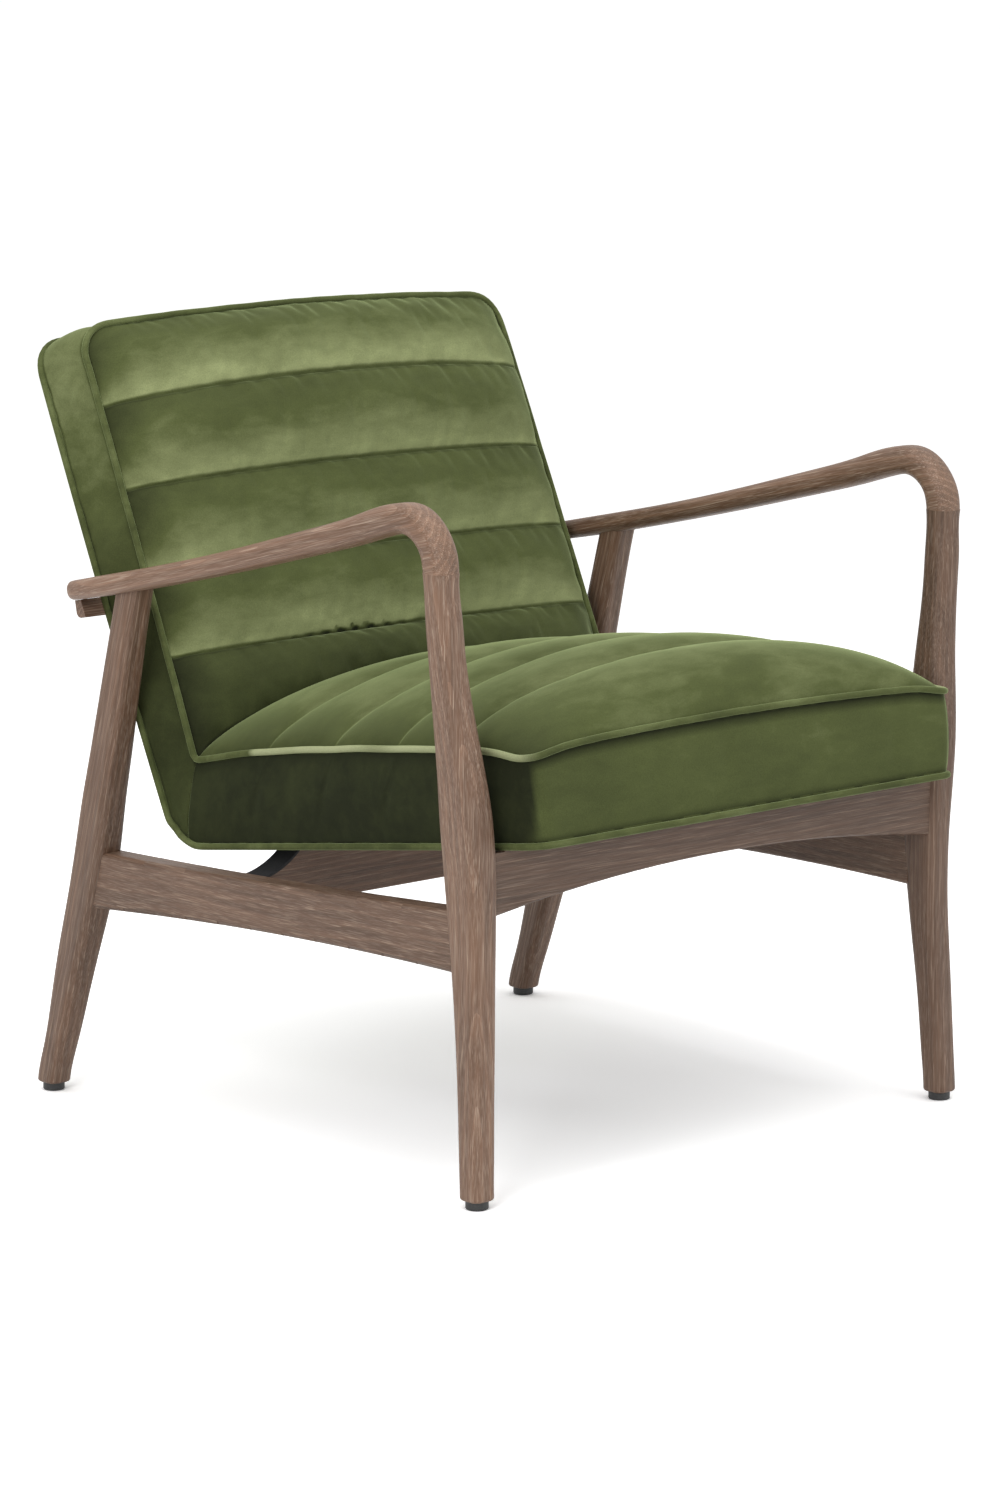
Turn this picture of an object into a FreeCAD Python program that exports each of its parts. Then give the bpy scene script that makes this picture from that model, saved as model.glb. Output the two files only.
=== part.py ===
import FreeCAD, Part
import os
from math import acos, atan2, cos, degrees, pi, radians, sin, sqrt, tan

# Lounge chair with an open timber frame and a one-piece channelled seat unit.
# Millimetres. +Z is up, the sitter faces -Y, and +X is the sitter's left.
# The origin is on the floor, under the middle of the chair's width and depth.

Vector = FreeCAD.Vector
LEFT = 1
RIGHT = -1

# Floor glides
GLIDE_DIAMETER = 21.0
GLIDE_HEIGHT = 8.0
GLIDE_EDGE = 1.6
GLIDE_PIN_DIAMETER = 4.0
GLIDE_PIN_LENGTH = 18.0

# Seat unit: front top edge of the seat, its tilt, and the back's recline
SEAT_EDGE_Y = -336.95
SEAT_EDGE_Z = 411.0
SEAT_TILT = 8.0
SEAT_HALF_WIDTH = 269.0
SEAT_LENGTH = 469.0
SEAT_HEIGHT = 80.0
SEAT_SIDE_BOW = 5.0
SEAT_FRONT_BOW = 8.0
SEAT_FRONT_SWELL = 4.0
SEAT_CORNER_RADIUS = 12.0
# distance of each sewn seam from the front edge, and its rise at mid-width
SEAT_SEAMS = ((79.0, 61.0), (177.0, 70.0), (275.0, 72.0), (368.0, 65.0))
SEAT_CREASE_RISE = 45.0
SEAT_CREASE_FORWARD = 15.0
SEAT_ROLL = 20.0
CHANNEL_SWELL = 9.0
EDGE_SWELL = 0.25

BACK_RECLINE = 22.4
BACK_NARROWING = 2.5
BACK_HALF_WIDTH = SEAT_HALF_WIDTH - BACK_NARROWING
BACK_FLARE = 0.44
BACK_LENGTH = 426.0
BACK_TOP_BOW = 7.0
BACK_TOP_FALL = -4.0
BACK_TOP_CROWN = 3.0
BACK_THICKNESS_LOW = 41.5
BACK_THICKNESS_TOP = 58.0
BACK_CORNER_RADIUS = 32.0
BACK_EDGE_SET_BACK = 14.0  # how far the side edges of the face fall back at its top
# distance of each sewn seam above the inner corner, bow at mid-width, and bulge at mid-width
BACK_SEAMS = ((98.0, 0.0, 22.0), (181.0, 0.0, 24.0), (265.0, 2.0, 28.0), (349.0, 6.0, 34.0))
BACK_TOP_BULGE = 4.0
LOWER_CORNER_RADIUS = 24.0
# section distances in from the side of a cushion
EDGE_STEPS = (0.0, 2.0, 6.0, 14.0, 30.0, 62.0, 130.0)
# the line where the seat meets the back, which the rear half of the frame follows
SEAT_INNER_Y = SEAT_EDGE_Y + SEAT_LENGTH * cos(radians(SEAT_TILT))

# Front legs: centre of the foot, and centre of the joint under the arm, outside the seat's side
FRONT_FOOT_OUT = 31.5
FRONT_FOOT_X = SEAT_HALF_WIDTH + FRONT_FOOT_OUT
FRONT_FOOT_Y = -302.95
ELBOW_JOINT_OUT = 51.0
ELBOW_JOINT_X = SEAT_HALF_WIDTH + ELBOW_JOINT_OUT
ELBOW_JOINT_Y = -278.45
ELBOW_JOINT_Z = 570.0
LEG_FOOT_ROUNDING = 3.0
# height share, offset X, offset Y, half width X, half depth Y, corner radius
FRONT_LEG_STATIONS = (
    (0.000, 0.0, 0.0, 13.5, 13.5, 9.0),
    (0.060, -2.2, 0.2, 13.6, 13.8, 9.0),
    (0.120, -4.7, 0.6, 13.8, 14.2, 9.0),
    (0.180, -7.2, 1.1, 14.1, 14.8, 9.2),
    (0.260, -10.8, 2.4, 14.5, 16.2, 9.5),
    (0.342, -14.0, 3.8, 15.0, 18.0, 10.0),
    (0.400, -15.6, 4.2, 15.5, 19.8, 10.5),
    (0.457, -16.4, 4.0, 16.0, 21.6, 11.0),
    (0.515, -16.2, 3.1, 16.4, 23.4, 11.5),
    (0.573, -15.0, 2.0, 16.6, 24.3, 12.0),
    (0.618, -13.7, 1.3, 16.5, 24.0, 12.0),
    (0.662, -12.0, 1.0, 16.2, 22.5, 12.0),
    (0.706, -10.1, 1.3, 15.9, 20.5, 11.8),
    (0.751, -8.0, 1.8, 15.5, 18.5, 11.5),
    (0.795, -5.7, 1.8, 15.1, 17.0, 11.5),
    (0.840, -3.5, 1.5, 14.8, 15.8, 11.5),
    (0.885, -1.8, 1.0, 14.6, 15.4, 11.5),
    (0.929, -0.7, 0.5, 14.5, 15.3, 11.5),
    (1.000, 0.0, 0.0, 14.5, 15.3, 11.5),
)

# Rear legs: centre of the foot, and centre line just under the arm, outside the seat and behind its inner line
REAR_FOOT_OUT = 41.0
REAR_FOOT_BEHIND = 175.564
REAR_TOP_OUT = 42.5
REAR_TOP_BEHIND = 40.564
REAR_TOP_DROP = 22.035
REAR_FOOT_X = SEAT_HALF_WIDTH + REAR_FOOT_OUT
REAR_FOOT_Y = SEAT_INNER_Y + REAR_FOOT_BEHIND
REAR_TOP_X = SEAT_HALF_WIDTH + REAR_TOP_OUT
REAR_TOP_Y = SEAT_INNER_Y + REAR_TOP_BEHIND
REAR_LEG_STATIONS = (
    (0.000, 0.0, 0.0, 13.8, 13.8, 9.0),
    (0.087, 0.0, -1.5, 14.0, 14.6, 9.0),
    (0.191, 0.0, -3.5, 15.0, 16.5, 9.5),
    (0.295, 0.0, -5.5, 15.5, 19.4, 10.0),
    (0.398, 0.0, -8.6, 16.0, 21.0, 10.0),
    (0.502, 0.0, -8.4, 16.0, 21.4, 10.0),
    (0.606, 0.0, -5.5, 16.0, 20.0, 10.0),
    (0.710, 0.0, -4.4, 15.8, 18.6, 10.0),
    (0.762, 0.0, -3.5, 15.7, 17.9, 10.0),
    (0.813, 0.0, -2.6, 15.5, 17.2, 10.0),
    (0.865, 0.0, -1.8, 15.4, 16.6, 10.0),
    (0.910, 0.0, -1.1, 15.2, 16.1, 10.0),
    (0.955, 0.0, -0.5, 15.1, 15.7, 10.0),
    (1.000, 0.0, 0.0, 15.0, 15.5, 10.0),
)
# shares past the top where the leg still runs on, so that the arm's underside can cut it off
REAR_LEG_PAST_TOP = (0.05, 0.10)

# Arms: a tight bend over the front leg, then one long shallow arc to the rear
ELBOW_RADIUS = 44.0
ARM_START_SLOPE = 16.4
ARM_END_SLOPE = 11.0
ARM_REAR_BEHIND = 123.064
ARM_REAR_OUT = 45.5
ARM_REAR_Y = SEAT_INNER_Y + ARM_REAR_BEHIND
ARM_REAR_X = SEAT_HALF_WIDTH + ARM_REAR_OUT
ARM_END_ROUND = 21.0
# share of the bend, width, thickness
ELBOW_STATIONS = ((0.0, 29.0, 30.6), (0.25, 29.4, 29.6), (0.5, 30.0, 28.6), (0.75, 30.8, 28.0))
# share of the long arc, width, thickness
ARM_STATIONS = (
    (0.00, 32.0, 27.4),
    (0.10, 33.4, 26.0),
    (0.24, 35.6, 23.6),
    (0.45, 39.0, 20.8),
    (0.70, 41.4, 19.4),
)
ARM_REAR_WIDTH = 42.0
ARM_REAR_THICKNESS = 18.8
ARM_EDGE_SHARE = 0.44

# Side rails
SIDE_RAIL_WIDTH = 28.0
SIDE_RAIL_EDGE = 4.5
SIDE_RAIL_FRONT_OUT = 22.5
SIDE_RAIL_REAR_OUT = 39.0
SIDE_RAIL_FRONT_X = SEAT_HALF_WIDTH + SIDE_RAIL_FRONT_OUT
SIDE_RAIL_REAR_X = SEAT_HALF_WIDTH + SIDE_RAIL_REAR_OUT
SIDE_RAIL_REAR_AHEAD = 70.0
SIDE_RAIL_REAR_Y = REAR_FOOT_Y - SIDE_RAIL_REAR_AHEAD
SIDE_RAIL_TOP_FRONT_Z = 267.0
SIDE_RAIL_TOP_REAR_Z = 249.0
SIDE_RAIL_BOTTOM_FRONT_Z = 210.0
SIDE_RAIL_BOTTOM_REAR_Z = 192.5
SIDE_RAIL_TOP_SAG = 3.0
SIDE_RAIL_ARCH = 6.5

# Front rail
FRONT_RAIL_FACE_Y = -304.45
FRONT_RAIL_THICKNESS = 24.0
FRONT_RAIL_END_Z = 259.0
FRONT_RAIL_ARCH = 24.0

# Board across the side rails under the seat, scooped at both upper ends
CROSS_RAIL_AHEAD = 119.436
CROSS_RAIL_FACE_Y = SEAT_INNER_Y - CROSS_RAIL_AHEAD
CROSS_RAIL_THICKNESS = 26.0
CROSS_RAIL_BOTTOM_Z = 221.0
CROSS_RAIL_SCOOP_RADIUS = 88.0
CROSS_RAIL_SCOOP_RISE = 87.0
CROSS_RAIL_SCOOP_INSET = 15.0
EDGE_STRIP_THICKNESS = 2.4

# Slim rail behind the back, under the rear ends of both arms
CROSSBAR_END_OUT = 1.0
CROSSBAR_HALF_LENGTH = ARM_REAR_X + CROSSBAR_END_OUT
CROSSBAR_DEPTH = 10.0
CROSSBAR_HEIGHT = 17.5
CROSSBAR_ROUND = 6.0
CROSSBAR_EDGE = 1.5
CROSSBAR_STAND_OFF = 3.0

# Covers, foam and piping
COVER_THICKNESS = 1.5
UNDER_CLOTH = 1.0
SEWN_GAP = 0.3
PIPING_RADIUS = 3.2
PIPING_STAND_OFF = 0.85
PIPING_JOIN_GAP = 0.2
PIPING_STEP_START = 45.0
PIPING_STEP_END = 15.0
PIPING_CLEARANCE = 0.3

# Timber carcass inside the seat unit
PLY_THICKNESS = 18.0
SIDE_PADDING = 8.0
CARCASS_TOP_DROP = 28.0
CARCASS_BACK_DROP = 8.0
CARCASS_CLEARANCE = 2.0
CARCASS_TOP_LENGTH = 396.0
CARCASS_CORNER_RADIUS = 20.0
REAR_BOARD_BACK_OFF = 26.0
BATTEN_HEIGHT = 24.0
BACK_MID_HEIGHT = 60.0
FOAM_CLEARANCE = 0.3

# Springs and webbing
SPRING_COUNT = 5
SPRING_SIDE_ROOM = 57.5
SPRING_WIRE = 3.6
SPRING_LOOP_RADIUS = 9.0
SPRING_LOOP_REACH = 16.0
CLIP_WIDTH = 16.0
CLIP_LENGTH = 14.0
CLIP_THICKNESS = 1.2
WEBBING_COUNT = 4
WEBBING_WIDTH = 50.0
WEBBING_THICKNESS = 1.6
WEBBING_FIRST = 90.0
WEBBING_PITCH = 84.0

# Dowels and screws
DOWEL_DIAMETER = 10.0
DOWEL_LENGTH = 40.0
SMALL_DOWEL_DIAMETER = 8.0
ELBOW_DOWEL_SPACING = 13.0
REAR_DOWEL_SPACING = 13.0
REAR_DOWEL_LENGTH = 22.0
RAIL_DOWEL_SPACING = 28.0
CROSS_DOWEL_SPACING = 13.0
SCREW_DIAMETER = 4.5
SCREW_HEAD_DIAMETER = 9.0
SCREW_HEAD_HEIGHT = 3.0
ARM_SCREW_LENGTH = 28.0
BACK_SCREW_LENGTH = 34.0
SEAT_SCREW_BITE = 17.5
FRONT_SCREW_X = 170.0
CROSS_SCREW_X = 150.0
BACK_SCREW_X = 160.0
BACK_SCREW_HEIGHT = 0.6
ARM_SCREW_IN = 6.5
ARM_SCREW_X = ARM_REAR_X - ARM_SCREW_IN

LARGE = 2000.0


# Local frames. The seat's runs back from its front top edge, the back's runs up from the inner corner.
def seat_point(x, back, up):
    tilt = radians(SEAT_TILT)
    y = SEAT_EDGE_Y + back * cos(tilt) + up * sin(tilt)
    z = SEAT_EDGE_Z - back * sin(tilt) + up * cos(tilt)
    return Vector(x, y, z)


def back_point(x, up, forward):
    recline = radians(BACK_RECLINE)
    corner = seat_point(x, SEAT_LENGTH, 0.0)
    y = corner.y + up * sin(recline) - forward * cos(recline)
    z = corner.z + up * cos(recline) + forward * sin(recline)
    return Vector(x, y, z)


def seat_to_back(back, up):
    point = seat_point(0.0, back, up) - seat_point(0.0, SEAT_LENGTH, 0.0)
    recline = radians(BACK_RECLINE)
    return (point.y * sin(recline) + point.z * cos(recline),
            point.z * sin(recline) - point.y * cos(recline))


def back_to_seat(up, forward):
    point = back_point(0.0, up, forward) - seat_point(0.0, 0.0, 0.0)
    tilt = radians(SEAT_TILT)
    return (point.y * cos(tilt) - point.z * sin(tilt),
            point.y * sin(tilt) + point.z * cos(tilt))


def seat_box(half_x, back_low, back_high, up_low, up_high):
    corners = [seat_point(-half_x, back, up) for back, up in (
        (back_low, up_low), (back_high, up_low), (back_high, up_high), (back_low, up_high))]
    return prism(corners, Vector(2.0 * half_x, 0.0, 0.0))


def back_box(x_low, x_high, up_low, up_high, forward_low, forward_high):
    corners = [back_point(x_low, up, forward) for up, forward in (
        (up_low, forward_low), (up_high, forward_low), (up_high, forward_high), (up_low, forward_high))]
    return prism(corners, Vector(x_high - x_low, 0.0, 0.0))


# Basic shapes
def prism(corners, travel):
    return Part.Face(Part.makePolygon(corners + corners[:1])).extrude(travel)


def solid_of(shape):
    return max(shape.Solids, key=lambda solid: solid.Volume)


def line(start, end):
    return Part.makeLine(start, end)


def arc(start, middle, end):
    return Part.Arc(start, middle, end).toShape()


def bowed(start, end, rise):
    """An arc from start to end whose middle stands off the chord by the vector rise."""
    return arc(start, (start + end) * 0.5 + rise, end)


def rounded_section(centre, across, along, half_across, half_along, corner):
    """A closed rounded rectangle in the plane of two unit vectors."""
    def at(side_a, side_b, cut_a, cut_b):
        return (centre + across * (side_a * (half_across - cut_a))
                + along * (side_b * (half_along - cut_b)))

    trim = corner * (1.0 - sqrt(0.5))
    edges = []
    corners = ((1, 1), (-1, 1), (-1, -1), (1, -1))
    for index, (side_a, side_b) in enumerate(corners):
        next_a, next_b = corners[(index + 1) % 4]
        turns_on_a = index % 2 == 0
        start = at(side_a, side_b, 0.0, corner) if turns_on_a else at(side_a, side_b, corner, 0.0)
        end = at(side_a, side_b, corner, 0.0) if turns_on_a else at(side_a, side_b, 0.0, corner)
        following = at(next_a, next_b, corner, 0.0) if turns_on_a else at(next_a, next_b, 0.0, corner)
        edges.append(arc(start, at(side_a, side_b, trim, trim), end))
        edges.append(line(end, following))
    return Part.Wire(edges)


def loft(wires):
    return solid_of(Part.makeLoft(wires, True, False))


def rod(start, direction, diameter, length):
    return Part.makeCylinder(diameter / 2.0, length, start, direction)


def dowel(middle, direction, diameter, length):
    unit = Vector(direction).normalize()
    body = rod(middle - unit * (length / 2.0), unit, diameter, length)
    return body.makeChamfer(0.8, [edge for edge in body.Edges if edge.Length > diameter * 2.0])


def screw(head_face, direction, length):
    """A countersunk wood screw whose flat head face lies at head_face."""
    unit = Vector(direction).normalize()
    head = Part.makeCone(SCREW_HEAD_DIAMETER / 2.0, SCREW_DIAMETER / 2.0, SCREW_HEAD_HEIGHT, head_face, unit)
    shank = rod(head_face, unit, SCREW_DIAMETER, length - SCREW_DIAMETER)
    tip = Part.makeCone(SCREW_DIAMETER / 2.0, 0.4, SCREW_DIAMETER, head_face + unit * (length - SCREW_DIAMETER), unit)
    return solid_of(head.fuse([shank, tip]).removeSplitter())


def cut_all(shape, tools):
    return solid_of(shape.cut(tools))


# Floor glide: a flat disc with a rounded edge and a drive-in pin
def glide(x, y):
    radius = GLIDE_DIAMETER / 2.0
    pin = GLIDE_PIN_DIAMETER / 2.0
    top = GLIDE_HEIGHT + GLIDE_PIN_LENGTH
    ease = GLIDE_EDGE * (1.0 - sqrt(0.5))
    outline = [
        line(Vector(0, 0, 0), Vector(radius - GLIDE_EDGE, 0, 0)),
        arc(Vector(radius - GLIDE_EDGE, 0, 0), Vector(radius - ease, 0, ease), Vector(radius, 0, GLIDE_EDGE)),
        line(Vector(radius, 0, GLIDE_EDGE), Vector(radius, 0, GLIDE_HEIGHT)),
        line(Vector(radius, 0, GLIDE_HEIGHT), Vector(pin, 0, GLIDE_HEIGHT)),
        line(Vector(pin, 0, GLIDE_HEIGHT), Vector(pin, 0, top)),
        line(Vector(pin, 0, top), Vector(0, 0, top)),
        line(Vector(0, 0, top), Vector(0, 0, 0)),
    ]
    profile = Part.Face(Part.Wire(outline))
    body = profile.revolve(Vector(0, 0, 0), Vector(0, 0, 1), 360)
    body.translate(Vector(x, y, 0))
    return solid_of(body)


def glides():
    places = [(side * FRONT_FOOT_X, FRONT_FOOT_Y) for side in (LEFT, RIGHT)]
    places += [(side * REAR_FOOT_X, REAR_FOOT_Y) for side in (LEFT, RIGHT)]
    return [glide(x, y) for x, y in places]


# Legs: a smooth loft through horizontal sections, with a rounded foot
def leg_sections(side, stations, foot, top):
    wires = []
    for share, offset_x, offset_y, half_x, half_y, corner in stations:
        centre = foot + (top - foot) * share + Vector(offset_x, offset_y, 0.0)
        centre.x = centre.x * side
        wires.append(rounded_section(centre, Vector(1, 0, 0), Vector(0, 1, 0), half_x, half_y, corner))
    return wires


def round_foot(leg):
    low = leg.BoundBox.ZMin
    edges = [edge for edge in leg.Edges if edge.BoundBox.ZMax < low + 0.01]
    return solid_of(leg.makeFillet(LEG_FOOT_ROUNDING, edges))


def front_leg(side):
    foot = Vector(FRONT_FOOT_X, FRONT_FOOT_Y, GLIDE_HEIGHT)
    top = Vector(ELBOW_JOINT_X, ELBOW_JOINT_Y, ELBOW_JOINT_Z)
    return round_foot(loft(leg_sections(side, FRONT_LEG_STATIONS, foot, top)))


def rear_leg(side, arm):
    """The rear leg runs up through the arm's level and is then cut off along the arm's underside."""
    foot = Vector(REAR_FOOT_X, REAR_FOOT_Y, GLIDE_HEIGHT)
    y, z, along = arm_point((REAR_TOP_Y - ELBOW_JOINT_Y) / (ARM_REAR_Y - ELBOW_JOINT_Y))
    top = Vector(REAR_TOP_X, REAR_TOP_Y, z - REAR_TOP_DROP)
    wires = leg_sections(side, REAR_LEG_STATIONS, foot, top)
    last = REAR_LEG_STATIONS[-1]
    for share in REAR_LEG_PAST_TOP:
        beyond = top + (top - foot) * share
        beyond.x = beyond.x * side
        wires.append(rounded_section(beyond, Vector(1, 0, 0), Vector(0, 1, 0), last[3], last[4], last[5]))
    whole = round_foot(loft(wires))
    start = Vector(-LARGE, y, z)
    above = prism([start - along * LARGE, start + along * LARGE,
                   start + along * LARGE + Vector(0, 0, LARGE), start - along * LARGE + Vector(0, 0, LARGE)],
                  Vector(2.0 * LARGE, 0, 0))
    pieces = whole.cut([arm, above]).Solids
    return min(pieces, key=lambda piece: piece.BoundBox.ZMin)


# Arm centre line. slope is the angle below level, in degrees.
def elbow_point(share):
    angle = radians((90.0 + ARM_START_SLOPE) * share)
    y = ELBOW_JOINT_Y + ELBOW_RADIUS * (1.0 - cos(angle))
    z = ELBOW_JOINT_Z + ELBOW_RADIUS * sin(angle)
    return y, z, Vector(0, sin(angle), cos(angle))


def arm_arc_radius():
    start_y = elbow_point(1.0)[0]
    span = ARM_REAR_Y - start_y
    return span / (sin(radians(ARM_START_SLOPE)) - sin(radians(ARM_END_SLOPE)))


def arm_point(share):
    start_y, start_z, unused = elbow_point(1.0)
    radius = arm_arc_radius()
    first = radians(ARM_START_SLOPE)
    slope = first + (radians(ARM_END_SLOPE) - first) * share
    y = start_y + radius * (sin(first) - sin(slope))
    z = start_z - radius * (cos(slope) - cos(first))
    return y, z, Vector(0, cos(slope), -sin(slope))


def arm_length():
    return arm_arc_radius() * radians(ARM_START_SLOPE - ARM_END_SLOPE)


def arm_centre_x(y):
    share = (y - ELBOW_JOINT_Y) / (ARM_REAR_Y - ELBOW_JOINT_Y)
    return ELBOW_JOINT_X + (ARM_REAR_X - ELBOW_JOINT_X) * share


def arm_section(side, place, width, thickness, corner):
    y, z, along = place
    centre = Vector(side * arm_centre_x(y), y, z)
    upward = Vector(1, 0, 0).cross(along)
    return rounded_section(centre, Vector(1, 0, 0), upward, width / 2.0, thickness / 2.0, corner)


def arm(side):
    wires = []
    for share, width, thickness in ELBOW_STATIONS:
        wires.append(arm_section(side, elbow_point(share), width, thickness, thickness * ARM_EDGE_SHARE - 1.0))
    for share, width, thickness in ARM_STATIONS:
        wires.append(arm_section(side, arm_point(share), width, thickness, thickness * ARM_EDGE_SHARE))
    round_share = ARM_END_ROUND / arm_length()
    for angle in (0.0, 24.0, 46.0, 64.0, 77.0):
        share = 1.0 - round_share * (1.0 - sin(radians(angle)))
        width = ARM_REAR_WIDTH * cos(radians(angle))
        thickness = ARM_REAR_THICKNESS * (0.5 + 0.5 * cos(radians(angle)) ** 0.5)
        corner = min(thickness, width) * ARM_EDGE_SHARE
        wires.append(arm_section(side, arm_point(share), width, thickness, corner))
    return loft(wires)


# Rails
def seat_underside(drop):
    """A block that fills the space above the seat's underside, lowered by drop."""
    return seat_box(LARGE / 2.0, -LARGE / 2.0, LARGE / 2.0, -SEAT_HEIGHT - drop, LARGE / 2.0)


def side_rail(side, legs):
    front = ELBOW_JOINT_Y
    rear = SIDE_RAIL_REAR_Y
    half = SIDE_RAIL_WIDTH / 2.0
    top_front = Vector(-half, front, SIDE_RAIL_TOP_FRONT_Z)
    top_rear = Vector(-half, rear, SIDE_RAIL_TOP_REAR_Z)
    low_front = Vector(-half, front, SIDE_RAIL_BOTTOM_FRONT_Z)
    low_rear = Vector(-half, rear, SIDE_RAIL_BOTTOM_REAR_Z)
    outline = Part.Wire([
        bowed(top_front, top_rear, Vector(0, 0, -SIDE_RAIL_TOP_SAG)),
        line(top_rear, low_rear),
        bowed(low_rear, low_front, Vector(0, 0, SIDE_RAIL_ARCH)),
        line(low_front, top_front),
    ])
    rail = Part.Face(outline).extrude(Vector(SIDE_RAIL_WIDTH, 0, 0))
    long_edges = [edge for edge in rail.Edges if edge.BoundBox.YLength > (rear - front) * 0.9]
    rail = rail.makeFillet(SIDE_RAIL_EDGE, long_edges)
    toe = degrees(atan2(SIDE_RAIL_REAR_X - SIDE_RAIL_FRONT_X, rear - front))
    rail.rotate(Vector(0, front, 0), Vector(0, 0, 1), -toe * side)
    rail.translate(Vector(side * SIDE_RAIL_FRONT_X, 0, 0))
    return cut_all(rail, legs)


def front_rail(legs):
    reach = FRONT_FOOT_X
    top = SEAT_EDGE_Z
    low_left = Vector(-reach, FRONT_RAIL_FACE_Y, FRONT_RAIL_END_Z)
    low_right = Vector(reach, FRONT_RAIL_FACE_Y, FRONT_RAIL_END_Z)
    high_left = Vector(-reach, FRONT_RAIL_FACE_Y, top)
    high_right = Vector(reach, FRONT_RAIL_FACE_Y, top)
    outline = Part.Wire([
        bowed(low_left, low_right, Vector(0, 0, FRONT_RAIL_ARCH)),
        line(low_right, high_right),
        line(high_right, high_left),
        line(high_left, low_left),
    ])
    rail = Part.Face(outline).extrude(Vector(0, FRONT_RAIL_THICKNESS, 0))
    low_edges = [edge for edge in rail.Edges
                 if edge.BoundBox.ZMax < FRONT_RAIL_END_Z + FRONT_RAIL_ARCH + 1.0
                 and edge.BoundBox.XLength > reach]
    rail = rail.makeFillet(2.0, low_edges)
    return cut_all(rail, legs + [seat_underside(SEWN_GAP)] + piping_reliefs())


def piping_reliefs():
    """Shallow steps that lower the front rail's upper corners, where the seat's piping passes."""
    depth = piping_off() + PIPING_RADIUS + PIPING_CLEARANCE
    start = SEAT_HALF_WIDTH - PIPING_RADIUS + piping_off() - PIPING_CLEARANCE
    relief = seat_underside(depth)
    left = Part.makeBox(LARGE, LARGE, LARGE, Vector(start, -LARGE / 2.0, -LARGE / 2.0)).common(relief)
    right = Part.makeBox(LARGE, LARGE, LARGE, Vector(-start - LARGE, -LARGE / 2.0, -LARGE / 2.0)).common(relief)
    return [left, right]


def cross_rail_half_length():
    share = (CROSS_RAIL_FACE_Y - ELBOW_JOINT_Y) / (SIDE_RAIL_REAR_Y - ELBOW_JOINT_Y)
    return SIDE_RAIL_FRONT_X + (SIDE_RAIL_REAR_X - SIDE_RAIL_FRONT_X) * share - SIDE_RAIL_WIDTH / 2.0


def scoop(side, radius):
    """The round cutter that hollows one upper end of the cross rail."""
    half = cross_rail_half_length()
    centre = Vector(side * (half + CROSS_RAIL_SCOOP_INSET), CROSS_RAIL_FACE_Y - 1.0,
                    CROSS_RAIL_BOTTOM_Z + CROSS_RAIL_SCOOP_RISE + 28.0)
    return Part.makeCylinder(radius, CROSS_RAIL_THICKNESS + 2.0, centre, Vector(0, 1, 0))


def cross_rail_blank():
    half = cross_rail_half_length()
    blank = Part.makeBox(2.0 * half, CROSS_RAIL_THICKNESS, SEAT_EDGE_Z - CROSS_RAIL_BOTTOM_Z,
                         Vector(-half, CROSS_RAIL_FACE_Y, CROSS_RAIL_BOTTOM_Z))
    return blank.cut(seat_underside(SEWN_GAP))


def seat_cross_rail():
    board = cross_rail_blank().cut([scoop(side, CROSS_RAIL_SCOOP_RADIUS) for side in (LEFT, RIGHT)])
    low_edges = [edge for edge in board.Edges
                 if edge.BoundBox.ZMax < CROSS_RAIL_BOTTOM_Z + 0.1 and edge.BoundBox.XLength > LARGE / 10.0]
    return solid_of(board.makeFillet(2.0, low_edges))


def cross_rail_edge_strips():
    strips = []
    for side in (LEFT, RIGHT):
        ring = scoop(side, CROSS_RAIL_SCOOP_RADIUS).cut(
            scoop(side, CROSS_RAIL_SCOOP_RADIUS - EDGE_STRIP_THICKNESS))
        strips.append(solid_of(ring.common(cross_rail_blank())))
    return strips


# Crossbar behind the back: its top lies along the arms' underside, its front along the back's rear face
def crossbar_corners():
    """Front top, front low, rear low and rear top corners at mid-width, with the bar's own directions."""
    y, z, along = arm_point(1.0)
    upward = Vector(1, 0, 0).cross(along)
    under = Vector(0, y, z) - upward * (ARM_REAR_THICKNESS / 2.0)
    low = back_point(0.0, 0.0, -BACK_THICKNESS_LOW - CROSSBAR_STAND_OFF)
    high = back_point(0.0, BACK_LENGTH, -BACK_THICKNESS_TOP - CROSSBAR_STAND_OFF)
    rising = (high - low).normalize()
    front_top = low + rising * ((under - low).dot(upward) / rising.dot(upward))
    front_low = front_top - rising * (CROSSBAR_HEIGHT / rising.dot(upward))
    rear_top = front_top + along * CROSSBAR_DEPTH
    rear_low = rear_top - upward * CROSSBAR_HEIGHT
    return front_top, front_low, rear_low, rear_top, along, upward


def back_crossbar(arms):
    front_top, front_low, rear_low, rear_top, along, upward = crossbar_corners()
    round_start = rear_low - along * CROSSBAR_ROUND
    round_end = rear_low + upward * CROSSBAR_ROUND
    ease = CROSSBAR_ROUND * (1.0 - sqrt(0.5))
    round_middle = rear_low - along * ease + upward * ease
    outline = Part.Wire([
        line(front_top, front_low),
        line(front_low, round_start),
        arc(round_start, round_middle, round_end),
        line(round_end, rear_top),
        line(rear_top, front_top),
    ])
    outline.translate(Vector(-CROSSBAR_HALF_LENGTH, 0, 0))
    bar = Part.Face(outline).extrude(Vector(2.0 * CROSSBAR_HALF_LENGTH, 0, 0))
    ends = [edge for edge in bar.Edges
            if edge.BoundBox.XLength < 0.1 and edge.BoundBox.ZMax < front_top.z - 1.0]
    bar = bar.makeFillet(CROSSBAR_EDGE, ends)
    return cut_all(bar, arms)


# Cushion sections. Each is a flat loop of lines and arcs at one distance in from the side.
def round_over(inset, radius):
    """How far a rounded corner of this radius has dropped, at a distance in from the side."""
    return radius - sqrt(radius ** 2 - max(radius - inset, 0.0) ** 2)


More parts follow.
